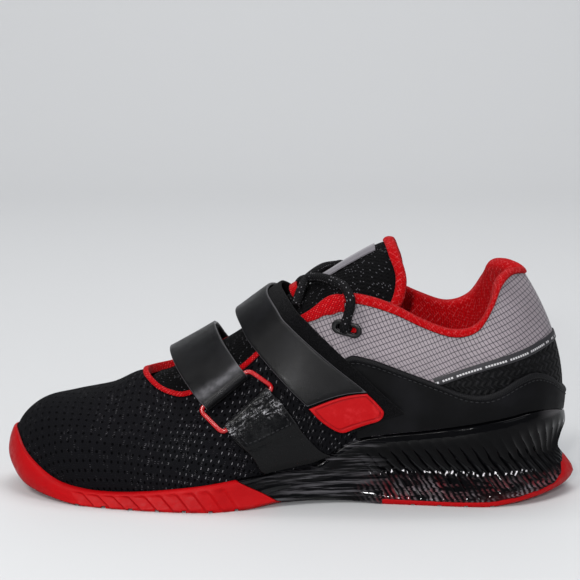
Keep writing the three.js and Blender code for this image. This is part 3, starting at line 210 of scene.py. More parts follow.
def eased(places, values, wanted):
    """Smooth curve through values at rising places, read at the wanted places."""
    places = np.asarray(places, float)
    values = np.asarray(values, float)
    wanted = np.clip(wanted, places[0], places[-1])
    steps = np.diff(places)
    shape = (-1,) + (1,) * (values.ndim - 1)
    slopes = np.diff(values, axis=0) / steps.reshape(shape)
    tangents = np.empty_like(values)
    tangents[0], tangents[-1] = slopes[0], slopes[-1]
    before, after = steps[:-1].reshape(shape), steps[1:].reshape(shape)
    tangents[1:-1] = (slopes[:-1] * after + slopes[1:] * before) / (before + after)
    i = np.clip(np.searchsorted(places, wanted, side="right") - 1, 0, len(steps) - 1)
    h = steps[i]
    f = (wanted - places[i]) / h
    more = (...,) + (None,) * (values.ndim - 1)
    f, h = f[more], h[more]
    rise = f * f * (3 - 2 * f)
    out = values[i] * (1 - rise) + values[i + 1] * rise
    return out + h * (f * (1 - f) ** 2 * tangents[i] - f * f * (1 - f) * tangents[i + 1])


def ring_values(rows, lateral, medial=None):
    """Column values round the shoe: the lateral side from toe to heel, then the medial side back."""
    medial = lateral if medial is None else medial
    return np.array([r[lateral] for r in rows] + [r[medial] for r in rows[1:-1]][::-1], float)


COLUMNS = (
    (OUTLINE_ROWS, {"x": (0,), "y": (1, 2), "deck": (3,), "spring": (4,), "arch": (5,), "lip": (6,),
                    "profile": (7,)}),
    (LAST_ROWS, {"seat": (0,), "rise": (1,), "swell": (2,), "over": (3,), "drop": (4,)}),
    (RIM_ROWS, {"rim_x": (0,), "rim_y": (1, 3), "rim_z": (2, 4)}),
)
RING = {name: ring_values(rows, *sides) for rows, named in COLUMNS for name, sides in named.items()}


def at(name, s):
    """A column's value at any place round the shoe: 0 at the toe, LAST_STATION at the heel."""
    values = RING[name]
    turned = np.mod(np.asarray(s, float), AROUND)
    i = np.floor(turned).astype(int)
    a, b, c, d = (values[(i + k) % AROUND] for k in (-1, 0, 1, 2))
    return catmull(a, b, c, d, turned - i)


class Last:
    """The shoe's body, worked out in millimetres from its sizes and the share tables."""

    def __init__(self, sizes):
        for name in LAST_SIZES:
            setattr(self, name, getattr(sizes, name) / MM)
        steps = np.arange(LAST_STATION * 20 + 1) / 20
        gaps = np.linalg.norm(np.diff(self.edge(steps), axis=0), axis=-1)
        self.stations = steps
        self.distances = np.concatenate([[0], np.cumsum(gaps)])
        self.outline_length = self.distances[-1]

    def front(self, x_share):
        return 1 - smooth(-0.1, 0.25, x_share)

    def width(self, x_share):
        return self.heel_width + (self.ball_width - self.heel_width) * self.front(x_share)

    def height(self, x_share):
        return self.back_height + (self.instep_height - self.back_height) * self.front(x_share)

    def deck(self, s):
        return self.forefoot_deck + self.heel_lift * at("deck", s)

    def floor(self, s):
        return np.maximum(0, self.toe_spring * at("spring", s) + self.arch_rise * at("arch", s))

    def lip(self, s):
        return self.deck(s) + self.lip_height * at("lip", s)

    def edge(self, s):
        x = at("x", s)
        return np.stack([x * self.length, at("y", s) * self.width(x), np.zeros_like(x)], -1)

    def outward(self, s):
        s = np.asarray(s, float)
        along = self.edge(s + SMALL_STEP) - self.edge(s - SMALL_STEP)
        return unit(np.stack([along[..., 1], -along[..., 0], np.zeros(s.shape)], -1))

    def handles(self, s):
        x = at("x", s)
        width = self.width(x)[..., None]
        height = self.height(x)
        out = self.outward(s)
        deck = self.deck(s)
        foot = self.edge(s) - out * (self.ledge * at("seat", s))[..., None]
        foot[..., 2] = deck
        low = foot + out * width * at("swell", s)[..., None]
        low[..., 2] += height * at("rise", s)
        rim_z = deck + height * at("rim_z", s)
        rim = np.stack([at("rim_x", s) * self.length, at("rim_y", s) * width[..., 0], rim_z], -1)
        high = rim + out * width * at("over", s)[..., None]
        high[..., 2] -= height * at("drop", s)
        return foot, low, high, rim

    def wall(self, s, v):
        s, v = np.broadcast_arrays(np.asarray(s, float), np.asarray(v, float))
        return bezier(self.handles(s), v)

    def lifted(self, surface, a, b, lift):
        a, b, lift = np.broadcast_arrays(*(np.asarray(x, float) for x in (a, b, lift)))
        along = surface(a + SMALL_STEP, b) - surface(a - SMALL_STEP, b)
        across = surface(a, b + SMALL_STEP) - surface(a, b - SMALL_STEP)
        return surface(a, b) + unit(np.cross(along, across)) * lift[..., None]

    def skin(self, s, v, lift):
        """Outer face of the upper at s, from its foot (v 0) to the rim (v 1), moved out by lift."""
        return self.lifted(self.wall, s, v, lift)

    def wall_share(self, s, z):
        s, z = np.broadcast_arrays(np.asarray(s, float), np.asarray(z, float))
        handles = self.handles(s)
        low, high = np.zeros(s.shape), np.ones(s.shape)
        for _ in range(24):
            middle = (low + high) / 2
            below = bezier(handles, middle)[..., 2] < z
            low = np.where(below, middle, low)
            high = np.where(below, high, middle)
        return (low + high) / 2

    def wall_length(self, s):
        rows = self.wall(np.asarray(s, float)[..., None], np.linspace(0, 1, 25))
        return np.linalg.norm(np.diff(rows, axis=-2), axis=-1).sum(-1)

    def crest(self, t):
        rows = np.array(CREST_ROWS)
        last = len(rows) - 1
        place = np.clip(t, 0, last - 0.001)
        i = np.floor(place).astype(int)
        a, b, c, d = (rows[np.clip(i + k, 0, last)] for k in (-1, 0, 1, 2))
        value = catmull(a, b, c, d, (place - i)[..., None])
        x = at("x", t)
        z = self.deck(t) + self.height(x) * value[..., 2]
        return np.stack([value[..., 0] * self.length, value[..., 1] * self.width(x), z], -1)

    def body_point(self, t, q):
        """The whole body at station t: q 0 to 1 up the lateral wall, to 2 over the throat, to 3 down."""
        t, q = np.broadcast_arrays(np.asarray(t, float), np.asarray(q, float))
        lateral, medial = self.handles(t), self.handles(-t)
        side = bezier(lateral, np.minimum(q, 1))
        far = bezier(medial, np.minimum(3 - q, 1))
        near_rim, far_rim = lateral[3], medial[3]
        lift = (self.crest(t) - (near_rim + far_rim) / 2) * 4 / 3
        spread = 0.22
        first = near_rim * (1 - spread) + far_rim * spread + lift
        second = far_rim * (1 - spread) + near_rim * spread + lift
        over = bezier((near_rim, first, second, far_rim), np.clip(q - 1, 0, 1))
        q = q[..., None]
        return np.where(q <= 1, side, np.where(q >= 2, far, over))

    def body(self, t, q, lift):
        return self.lifted(self.body_point, t, q, lift)

    def station_at(self, distance):
        return np.interp(distance, self.distances, self.stations)

    def distance_at(self, t):
        return np.interp(t, self.stations, self.distances)


def both_sides(values, sign=1):
    """Values of the lateral side from toe to heel, then of the medial side back to the toe."""
    values = np.asarray(values, float)
    return np.concatenate([values, sign * values[1:-1][::-1]])


def path_lengths(points):
    """Distance run along rows of points, starting at nought."""
    steps = np.linalg.norm(np.diff(points, axis=0), axis=-1)
    return np.concatenate([np.zeros((1,) + steps.shape[1:]), np.cumsum(steps, axis=0)])


# Meshes


def piece_mesh(name, points, finishes, closed=False, ends="strip", uv=None, tags=None, marks=None,
               crease=40):
    """Object through rows of points, each row a closed section, with its faces turned outwards.

    uv holds one row and one column more where the faces wrap round; tags pick the finish of each
    face, and marks are named values at the points.
    """
    points = np.asarray(points, float)
    n, m = points.shape[:2]
    rows = n if closed else n - 1
    i, j = np.meshgrid(np.arange(rows), np.arange(m), indexing="ij")
    here, there = i * m, ((i + 1) % n) * m
    k = (j + 1) % m
    faces = np.stack([here + j, here + k, there + k, there + j], -1).reshape(-1, 4)
    corners = np.stack([
        np.stack([i, j], -1), np.stack([i, j + 1], -1),
        np.stack([i + 1, j + 1], -1), np.stack([i + 1, j], -1),
    ], -2).reshape(-1, 4, 2)
    face_tags = np.zeros(len(faces), int) if tags is None else np.asarray(tags, int).ravel()
    flat = points.reshape(-1, 3)
    a, b, c, d = (flat[faces[:, x]] for x in range(4))
    volume = np.sum(a * np.cross(b, c)) + np.sum(a * np.cross(c, d))
    polygons = faces.tolist()
    loops = corners.tolist()
    if not closed and ends is not None:
        extra = []
        half = m // 2
        for start, row, flip in ((0, 0, True), ((n - 1) * m, n - 1, False)):
            for x in range(half if ends == "ladder" or m % 2 else half - 1):
                if ends == "ladder":
                    ring = [x, x + 1, (m - x - 1) % m, (m - x) % m]
                else:
                    ring = [x, x + 1, m - 2 - x, m - 1 - x]
                ring = list(dict.fromkeys(ring))
                if flip:
                    ring = ring[::-1]
                extra.append(([start + y for y in ring], [[row, y] for y in ring]))
        for polygon, places in extra:
            polygons.append(polygon)
            loops.append(places)
        for polygon in (e[0] for e in extra):
            for x in range(1, len(polygon) - 1):
                p, r, t = (flat[polygon[y]] for y in (0, x, x + 1))
                volume += p @ np.cross(r, t)
        face_tags = np.concatenate([face_tags, np.zeros(len(extra), int)])
    if volume < 0:
        polygons = [polygon[::-1] for polygon in polygons]
        loops = [places[::-1] for places in loops]
    mesh = bpy.data.meshes.new(name)
    mesh.from_pydata((flat * MM).tolist(), [], polygons)
    for finish in finishes:
        mesh.materials.append(finish)
    mesh.polygons.foreach_set("material_index", face_tags.astype(np.int32))
    if uv is not None:
        table = np.asarray(uv, float)
        places = np.array([place for polygon in loops for place in polygon])
        if table.ndim == 4:
            face_of = np.repeat(np.arange(len(loops)), [len(x) for x in loops])
            which = np.minimum(face_tags[face_of], table.shape[0] - 1)
            values = table[which, places[:, 0], places[:, 1]]
        else:
            values = table[places[:, 0], places[:, 1]]
        layer = mesh.uv_layers.new(name="cloth")
        layer.data.foreach_set("uv", values.astype(np.float32).ravel())
    for mark, values in (marks or {}).items():
        layer = mesh.attributes.new(mark, "FLOAT", "POINT")
        layer.data.foreach_set("value", np.asarray(values, np.float32).ravel())
    mesh.validate()
    mesh.shade_smooth()
    if crease is not None:
        mesh.set_sharp_from_angle(angle=math.radians(crease))
    piece = bpy.data.objects.new(name, mesh)
    bpy.context.scene.collection.objects.link(piece)
    return piece


def settle(piece, slot, *nodes):
    """The piece rides on the shoe and stands for its solids, which are hidden. The slot is not used."""
    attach(piece, "root")
    if nodes:
        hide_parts(*nodes)
    return piece


def baked(piece):
    """The piece with its modifiers turned to plain mesh."""
    graph = bpy.context.evaluated_depsgraph_get()
    mesh = bpy.data.meshes.new_from_object(piece.evaluated_get(graph))
    old = piece.data
    piece.modifiers.clear()
    piece.data = mesh
    if isinstance(old, bpy.types.Mesh):
        bpy.data.meshes.remove(old)
    return piece


def wire_rings(path, radius, sides=16):
    """Rows of points of a round wire along a closed path."""
    along = unit(np.roll(path, -1, 0) - np.roll(path, 1, 0))
    up = np.empty_like(path)
    up[0] = unit(np.cross(along[0], [0.3, 0.2, 1.0]))
    for i in range(1, len(path)):
        up[i] = unit(up[i - 1] - along[i] * (up[i - 1] @ along[i]))
    side = unit(np.cross(along, up))
    up = np.cross(side, along)
    angle = np.linspace(0, 2 * math.pi, sides, endpoint=False)[None, :, None]
    return path[:, None] + radius * (np.cos(angle) * side[:, None] + np.sin(angle) * up[:, None])


def wrapped_cloth(points, column):
    """Cloth places of wrapped sections: the distance along at one column, and the distance round."""
    cloth = np.zeros((len(points), points.shape[1] + 1, 2))
    cloth[..., 0] = path_lengths(points[:, column:column + 1])
    cloth[:, :-1, 1] = path_lengths(points.transpose(1, 0, 2)).T
    cloth[:, -1, 1] = cloth[:, -2, 1]
    return cloth


# Finishes


def srgb(red, green, blue):
    """Linear colour of a tone named by its screen values, 0 to 255."""
    tone = [x / 255 for x in (red, green, blue)]
    return tuple(x / 12.92 if x <= 0.04045 else ((x + 0.055) / 1.055) ** 2.4 for x in tone)


def scaled(tone, factor):
    return tuple(min(1.0, x * factor) for x in tone)


class Finish:
    """One material: each method adds nodes and hands back their output."""

    def __init__(self, name, colour, roughness, specular, **sockets):
        self.material = bpy.data.materials.new(name)
        self.material.use_nodes = True
        self.tree = self.material.node_tree
        self.shader = next(n for n in self.tree.nodes if n.type == "BSDF_PRINCIPLED")
        self.colour(colour)
        self.rough(roughness)
        self.put(self.shader.inputs["Specular IOR Level"], specular)
        for socket, value in sockets.items():
            self.put(self.shader.inputs[socket.replace("_", " ")], value)

    def put(self, socket, value):
        if isinstance(value, bpy.types.NodeSocket):
            self.tree.links.new(value, socket)
        elif socket.type == "RGBA" and len(value) == 3:
            socket.default_value = (*value, 1.0)
        else:
            socket.default_value = value

    def node(self, kind, inputs=None, output=0, **settings):
        node = self.tree.nodes.new(kind)
        for key, value in settings.items():
            setattr(node, key, value)
        for socket, value in (inputs or {}).items():
            self.put(node.inputs[socket], value)
        return node.outputs[output]

    def colour(self, value):
        self.put(self.shader.inputs["Base Color"], value)

    def paint(self, share, a, b):
        self.colour(self.blend(share, a, b))

    def rough(self, value):
        self.put(self.shader.inputs["Roughness"], value)

    def place(self, stretch=(1, 1, 1)):
        """Place on the shoe in millimetres."""
        where = self.node("ShaderNodeTexCoord", output="Object")
        scale = tuple(x / MM for x in stretch)
        return self.node("ShaderNodeVectorMath", {0: where, 1: scale}, operation="MULTIPLY")

    def cloth(self):
        """Place on the cut cloth in millimetres."""
        return self.node("ShaderNodeUVMap", uv_map="cloth")

    def mark(self, name):
        return self.node("ShaderNodeAttribute", output="Fac", attribute_name=name)

    def part(self, vector, axis):
        return self.node("ShaderNodeSeparateXYZ", {0: vector}, output=axis)

    def turned(self, vector, degrees, cell=(1.0, 1.0)):
        """A flat place turned and divided by a cell size."""
        spun = self.node("ShaderNodeVectorRotate", {"Vector": vector, "Angle": math.radians(degrees)},
                         rotation_type="Z_AXIS")
        scale = (1 / cell[0], 1 / cell[1], 0.0)
        return self.node("ShaderNodeVectorMath", {0: spun, 1: scale}, operation="MULTIPLY")

    def math(self, operation, a, b=0.0, c=0.0):
        return self.node("ShaderNodeMath", {0: a, 1: b, 2: c}, operation=operation)

    def ramp(self, value, low, high, start=0.0, end=1.0):
        """Runs smoothly from start to end as value goes from low to high."""
        inputs = {"Value": value, "From Min": low, "From Max": high, "To Min": start, "To Max": end}
        return self.node("ShaderNodeMapRange", inputs, interpolation_type="SMOOTHSTEP")

    def blend(self, share, a, b):
        mix = self.tree.nodes.new("ShaderNodeMix")
        mix.data_type = "RGBA"
        for socket, value in ((mix.inputs[0], share), (mix.inputs[6], a), (mix.inputs[7], b)):
            self.put(socket, value)
        return mix.outputs[2]

    def noise(self, where, scale, detail=2.0, roughness=0.5, distortion=0.0):
        inputs = {"Vector": where, "Scale": scale, "Detail": detail, "Roughness": roughness,
                  "Distortion": distortion}
        return self.node("ShaderNodeTexNoise", inputs)

    def cells(self, where, scale, feature="F1", output="Distance", randomness=1.0):
        inputs = {"Vector": where, "Scale": scale, "Randomness": randomness}
        return self.node("ShaderNodeTexVoronoi", inputs, output=output, feature=feature)

    def to_line(self, value):
        """Distance to the nearest whole number, 0 to a half."""
        return self.math("PINGPONG", value, 0.5)

    def times(self, *values):
        product = values[0]
        for value in values[1:]:
            product = self.math("MULTIPLY", product, value)
        return product

    def shifted(self, cell, x, y):
        return self.node("ShaderNodeVectorMath", {0: cell, 1: (x, y, 0.0)}, operation="ADD")

    def chance(self, cell):
        """Random value, 0 to 1, of each whole cell, with the whole numbers at the cells' middles."""
        whole = self.node("ShaderNodeVectorMath", {0: self.shifted(cell, 0.5, 0.5)}, operation="FLOOR")
        return self.node("ShaderNodeTexWhiteNoise", {"Vector": whole}, noise_dimensions="2D")

    def picked(self, cell, share):
        """1 in the cells that chance puts past a share, 0 in the others."""
        return self.math("GREATER_THAN", self.chance(cell), share)

    def dots(self, cell, radius, soft=0.05):
        """Round dots at the whole numbers of a cell place, of a radius in cells."""
        across, up = self.to_line(self.part(cell, 0)), self.to_line(self.part(cell, 1))
        square = self.math("ADD", self.times(across, across), self.times(up, up))
        return self.ramp(self.math("SQRT", square), radius, radius + soft, 1.0, 0.0)

    def dashes(self, cell, long, thin, soft=0.08):
        """Short dashes at the whole numbers of a cell place, half as long and thin as given."""
        across = self.ramp(self.to_line(self.part(cell, 0)), long, long + soft, 1.0, 0.0)
        up = self.ramp(self.to_line(self.part(cell, 1)), thin, thin + soft, 1.0, 0.0)
        return self.times(across, up)

    def weave(self, cell):
        """Height of a plain weave: one soft bump in each cell."""
        return self.times(self.to_line(self.part(cell, 0)), self.to_line(self.part(cell, 1)), 4.0)

    def bump(self, height, depth, strength=1.0, below=None):
        """Relief of the given depth in millimetres."""
        inputs = {"Height": height, "Strength": strength, "Distance": depth * MM}
        if below is not None:
            inputs["Normal"] = below
        normal = self.node("ShaderNodeBump", inputs)
        self.put(self.shader.inputs["Normal"], normal)
        return normal


def rubber_finish(colours):
    finish = Finish("outsole_rubber", tuple(colours.red), 0.48, 0.1)
    where = finish.place()
    red = tuple(colours.red)
    low = finish.ramp(finish.part(where, 2), 0.5, 7.0, 1.0, 0.25)
    wear_and_gleam = finish.ramp(finish.noise(where, 0.16, 5.0, 0.7, 0.4), 0.56, 0.74)
    dusty = finish.blend(finish.times(wear_and_gleam, low, 0.5), red, srgb(150, 52, 50))
    mottle = finish.noise(where, 0.05, 3.0, 0.6)
    finish.paint(finish.ramp(mottle, 0.35, 0.7, 0.0, 0.35), dusty, srgb(138, 6, 13))
    finish.rough(finish.ramp(finish.noise(where, 0.3, 4.0, 0.6), 0.3, 0.7, 0.4, 0.62))
    fine = finish.bump(finish.noise(where, 2.6, 3.0, 0.6), 0.06, 0.5)
    finish.bump(finish.noise(where, 0.35, 3.0, 0.6), 0.12, 0.5, below=fine)
    return finish.material


def smoke_finish(colours):
    finish = Finish("smoke_moulding", tuple(colours.smoke), 0.1, 0.08, Coat_Weight=0.04,
                    Coat_Roughness=0.05)
    where = finish.place()
    x, z = finish.part(where, 0), finish.part(where, 2)
    streaks = finish.noise(finish.place((0.05, 0.05, 0.3)), 1.0, 4.0, 0.6, 0.6)
    low = finish.times(finish.ramp(z, 8.0, 17.0, 1.0, 0.0), finish.ramp(x, 30.0, 60.0))
    leaning = finish.math("ADD", x, finish.times(z, 0.65))
    wavy = finish.math("ADD", finish.math("DIVIDE", leaning, 2.9), finish.times(streaks, 2.4))
    strand = finish.ramp(finish.to_line(wavy), 0.16, 0.42)
    wisps = finish.times(low, strand, finish.ramp(streaks, 0.4, 0.62))
    smoky = finish.blend(finish.ramp(finish.noise(where, 0.08, 2.0), 0.4, 0.6), srgb(122, 46, 52),
                         srgb(112, 104, 108))
    tone = finish.blend(finish.times(wisps, 0.7), tuple(colours.smoke), smoky)
    # Lighter streaks along the waist: painted streaky highlights.
    waist = finish.times(finish.ramp(x, -20.0, 0.0), finish.ramp(x, 30.0, 55.0, 1.0, 0.0))
    drawn = finish.noise(finish.place((0.03, 0.03, 0.5)), 1.0, 4.0, 0.6, 0.3)
    waist_streak_highlight = finish.times(waist, finish.ramp(drawn, 0.47, 0.66), 0.5)
    tone = finish.blend(waist_streak_highlight, tone, srgb(98, 96, 100))
    # Paler band along the top of the lip at the back: painted highlight.
    lip = finish.times(finish.ramp(z, 42.0, 45.0), finish.ramp(x, 128.0, 146.0))
    tone = finish.blend(finish.times(lip, 0.25), tone, srgb(150, 146, 148))
    base = finish.times(finish.ramp(z, 3.0, 9.0, 1.0, 0.0), finish.ramp(x, 90.0, 140.0))
    tone = finish.blend(finish.times(base, 0.45), tone, srgb(96, 12, 16))
    # A dotted row of bright points about 16 mm up the side: painted glints.
    jolt = finish.times(finish.math("SUBTRACT", finish.noise(where, 0.25, 3.0), 0.5), 5.0)
    level = finish.math("SUBTRACT", finish.math("ADD", z, jolt), 16.4)
    band = finish.ramp(finish.math("ABSOLUTE", level), 0.35, 0.8, 1.0, 0.0)
    point = finish.ramp(finish.to_line(finish.math("DIVIDE", finish.math("ADD", x, jolt), 2.8)), 0.08, 0.2,
                        1.0, 0.0)
    kept = finish.ramp(finish.noise(where, 0.22, 2.0), 0.47, 0.53)
    along = finish.times(finish.ramp(x, 40.0, 50.0), finish.ramp(x, 118.0, 130.0, 1.0, 0.0))
    spark = finish.times(band, point, along, kept, 0.95)
    finish.paint(spark, tone, srgb(214, 210, 214))
    scuffed = finish.noise(where, 0.14, 5.0, 0.65)
    finish.rough(finish.ramp(scuffed, 0.45, 0.75, 0.06, 0.22))
    broad = finish.bump(finish.noise(where, 0.09, 2.0), 0.5, 0.5)
    finish.bump(finish.noise(where, 0.8, 2.0), 0.03, 0.5, below=broad)
    return finish.material


def vamp_finish(colours):
    black = scaled(colours.black, 3.0)
    finish = Finish("vamp_mesh", black, 0.82, 0.04)
    flat = finish.cloth()
    x = finish.part(finish.place(), 0)
    cell = finish.turned(flat, 23.0, (4.4, 4.4))
    hole = finish.dots(cell, 0.14)
    yarn = finish.turned(flat, 23.0, (1.1, 0.733))
    between = finish.shifted(cell, 0.5, 0.5)
    near_ball = finish.ramp(x, -95.0, -30.0)
    chosen = finish.picked(between, finish.ramp(x, -130.0, -40.0, 0.8, 0.3))
    main = finish.times(finish.dashes(between, 0.04, 0.12, 0.04), chosen, near_ball, 0.38)
    picks = finish.turned(flat, 23.0, (2.2, 1.1))
    stray = finish.picked(picks, 0.86)
    patch = finish.ramp(finish.noise(flat, 0.045, 2.0), 0.4, 0.65, 0.1, 1.0)
    faint = finish.times(finish.dashes(finish.shifted(picks, 0.2, 0.5), 0.16, 0.1), stray, patch, 0.22)
    tone = finish.blend(finish.math("MAXIMUM", main, faint), black, srgb(150, 148, 152))
    # The pinholes are painted near black: painted shade inside them.
    finish.paint(hole, tone, srgb(0, 0, 1))
    relief = finish.math("SUBTRACT", finish.weave(yarn), finish.times(hole, 3.0))
    finish.bump(relief, 0.22, 0.9)
    return finish.material


def ripstop_finish(colours):
    grey = tuple(colours.grey)
    finish = Finish("ripstop", grey, 0.42, 0.3, Sheen_Weight=0.03)
    flat = finish.cloth()
    cell = finish.turned(flat, -20.5, (1.96, 2.7))
    across, up = finish.to_line(finish.part(cell, 0)), finish.to_line(finish.part(cell, 1))
    first = finish.ramp(across, 0.085, 0.13, 1.0, 0.0)
    second = finish.ramp(up, 0.06, 0.095, 1.0, 0.0)
    line = finish.math("MAXIMUM", first, second)
    thread = finish.weave(finish.turned(flat, -20.5, (0.28, 0.28)))
    cloudy = finish.ramp(finish.noise(flat, 0.05, 3.0), 0.3, 0.7)
    ground = finish.blend(cloudy, grey, scaled(grey, 1.16))
    ground = finish.blend(finish.times(thread, 0.16), ground, srgb(104, 98, 104))
    lined = finish.blend(finish.times(line, 0.92), ground, srgb(60, 54, 62))
    finish.paint(finish.times(first, second), lined, srgb(28, 26, 30))
    finish.rough(finish.ramp(cloudy, 0.0, 1.0, 0.36, 0.5))
    drape = finish.bump(finish.noise(flat, 0.06, 2.0), 0.9, 0.4)
    finish.bump(finish.math("ADD", line, finish.times(thread, 0.25)), 0.1, 0.8, below=drape)
    return finish.material


def heel_cloth_finish(colours):
    black = tuple(colours.black)
    finish = Finish("heel_cloth", black, 0.6, 0.1)
    flat = finish.cloth()
    slope = finish.math("PINGPONG", finish.math("DIVIDE", finish.part(flat, 1), 2.4), 1.0)
    run = finish.math("DIVIDE", finish.part(flat, 0), 3.1)
    phase = finish.math("ADD", run, finish.times(slope, 0.7))
    height = finish.ramp(finish.to_line(phase), 0.05, 0.4)
    fine = finish.weave(finish.turned(flat, 30.0, (0.8, 0.8)))
    # Raised ribs of the weave painted lighter in patches: painted highlights.
    glint = finish.times(finish.ramp(finish.noise(flat, 0.35, 3.0), 0.5, 0.7), height, 0.3)
    finish.paint(glint, black, srgb(44, 43, 47))
    finish.rough(finish.ramp(height, 0.0, 1.0, 0.7, 0.5))
    finish.bump(finish.math("ADD", height, finish.times(fine, 0.3)), 0.4, 0.9)
    return finish.material


def inside_finish(colours):
    finish = Finish("inside_cloth", tuple(colours.black), 0.9, 0.1)
    where = finish.place()
    fuzz = finish.noise(where, 1.5, 3.0, 0.6)
    finish.paint(finish.ramp(fuzz, 0.4, 0.7, 0.0, 0.5), tuple(colours.black), srgb(30, 29, 32))
    finish.bump(fuzz, 0.15, 0.7)
    return finish.material


def overlay_finish(colours):
    black = tuple(colours.black)
    finish = Finish("matte_overlay", black, 0.5, 0.07)
    where = finish.place()
    # Lighter patches: scuffs and a painted sheen.
    scuff_and_sheen = finish.ramp(finish.noise(where, 0.03, 4.0, 0.6), 0.4, 0.7)
    finish.paint(finish.times(scuff_and_sheen, 0.4), black, srgb(24, 24, 27))
    finish.rough(finish.ramp(finish.noise(where, 0.12, 4.0, 0.6), 0.3, 0.7, 0.44, 0.6))
    finish.bump(finish.noise(where, 3.0, 2.0, 0.5), 0.03, 0.5)
    return finish.material


def welt_finish(colours):
    black = tuple(colours.black)
    finish = Finish("overlay_welt", black, 0.5, 0.12)
    cell = finish.turned(finish.cloth(), 35.0, (0.9, 0.9))
    height = finish.weave(cell)
    # Raised threads painted lighter: painted highlights on the weave.
    finish.paint(finish.times(height, 0.35), black, srgb(46, 45, 49))
    finish.bump(height, 0.2, 0.9)
    return finish.material


def tape_finish():
    finish = Finish("heel_tape_cloth", srgb(34, 33, 36), 0.5, 0.3)
    flat = finish.cloth()
    cell = finish.turned(finish.shifted(flat, 0.0, 0.45), 0.0, (1.55, 8.0))
    shown = finish.picked(cell, 0.22)
    dash = finish.times(finish.dashes(cell, 0.33, 0.055, 0.02), shown)
    finish.paint(finish.times(dash, 0.85), srgb(34, 33, 36), srgb(190, 188, 190))
    finish.bump(finish.weave(finish.turned(flat, 0.0, (0.5, 0.5))), 0.08, 0.7)
    return finish.material


def knit_finish(colours):
    red = scaled(colours.red, 1.25)
    finish = Finish("lining_knit", red, 0.85, 0.03, Sheen_Weight=0.03)
    flat = finish.cloth()
    cell = finish.turned(flat, 38.0, (2.3, 1.5))
    across, up = finish.to_line(finish.part(cell, 0)), finish.to_line(finish.part(cell, 1))
    ribs = finish.math("MAXIMUM", finish.ramp(across, 0.03, 0.12, 1.0, 0.0),
                       finish.ramp(up, 0.05, 0.16, 0.6, 0.0))
    loops = finish.weave(finish.turned(flat, 12.0, (0.9, 0.7)))
    patch = finish.ramp(finish.noise(flat, 0.5, 2.0), 0.42, 0.62)
    # The inner part of the collar is painted brighter: painted light falling inside the shoe.
    inward = finish.ramp(finish.part(flat, 1), 9.0, 17.0)
    lit = finish.blend(inward, red, scaled(red, 1.6))
    # Darker between the loops: painted shade in the gaps of the knit.
    deep = finish.blend(finish.ramp(loops, 0.0, 0.5), scaled(red, 0.6), lit)
    # Pink ribs in patches: the knit's rib pattern, also standing in for painted highlights on it.
    finish.paint(finish.times(ribs, patch, 0.42), deep, srgb(222, 92, 96))
    soft = finish.bump(finish.noise(flat, 0.12, 2.0), 0.8, 0.5)
    finish.bump(finish.math("ADD", loops, finish.times(ribs, 0.6)), 0.3, 0.9, below=soft)
    return finish.material


def edging_finish(colours):
    red = scaled(colours.red, 1.25)
    finish = Finish("edging_tape", red, 0.8, 0.04, Sheen_Weight=0.03)
    flat = finish.cloth()
    cell = finish.turned(flat, 32.0, (1.5, 0.95))
    height = finish.weave(cell)
    # Darker in the troughs of the weave: painted shade.
    trough_shaded = finish.blend(finish.ramp(height, 0.05, 0.5), srgb(128, 5, 11), red)
    shown = finish.picked(finish.shifted(cell, 0.5, 0.5), 0.6)
    speck = finish.times(finish.dashes(finish.shifted(cell, 0.5, 0.5), 0.15, 0.2), shown)
    finish.paint(finish.times(speck, 0.4), trough_shaded, srgb(220, 90, 92))
    soft = finish.bump(finish.noise(flat, 0.16, 2.0), 0.9, 0.5)
    finish.bump(height, 0.28, 0.9, below=soft)
    return finish.material


def tongue_finish(colours):
    black = tuple(colours.black)
    finish = Finish("tongue_mesh", black, 0.85, 0.08)
    flat = finish.cloth()
    cell = finish.turned(flat, 0.0, (3.0, 2.2))
    height = finish.weave(cell)
    grid = finish.turned(flat, 38.0, (1.3, 1.0))
    shown = finish.picked(grid, 0.84)
    speck = finish.times(finish.dashes(grid, 0.2, 0.16), shown)
    finish.paint(finish.times(speck, 0.5), black, srgb(104, 103, 108))
    open_mesh = finish.math("ADD", height, finish.times(finish.weave(grid), 0.5))
    finish.bump(open_mesh, 0.7, 1.0)
    return finish.material


def strip_finish():
    finish = Finish("label_strip", srgb(120, 118, 122), 0.42, 0.25)
    flat = finish.cloth()
    y = finish.part(flat, 1)
    pale = finish.ramp(y, 4.0, 9.0)
    tone = finish.blend(pale, srgb(104, 101, 106), srgb(134, 132, 136))
    cell = finish.turned(flat, 0.0, (0.7, 0.7))
    rib = finish.weave(cell)
    finish.paint(finish.times(rib, 0.25), tone, srgb(84, 82, 88))
    finish.bump(rib, 0.08, 0.8)
    return finish.material


def lace_finish(colours):
    black = tuple(colours.black)
    finish = Finish("lace_cord", black, 0.75, 0.1)
    flat = finish.node("ShaderNodeCombineXYZ", {0: finish.mark("run"), 1: finish.mark("around"), 2: 0.0})
    braid = finish.turned(flat, 45.0, (1.4, 1.4))
    height = finish.weave(braid)
    specks = finish.turned(flat, 0.0, (1.7, 1.9))
    shown = finish.picked(specks, 0.6)
    speck = finish.times(finish.dashes(specks, 0.15, 0.09), shown)
    # Raised strands of the braid painted lighter: painted highlights.
    lit = finish.blend(finish.times(height, 0.25), black, srgb(40, 39, 43))
    finish.paint(finish.times(speck, 0.6), lit, srgb(132, 130, 134))
    finish.bump(height, 0.45, 1.0)
    return finish.material


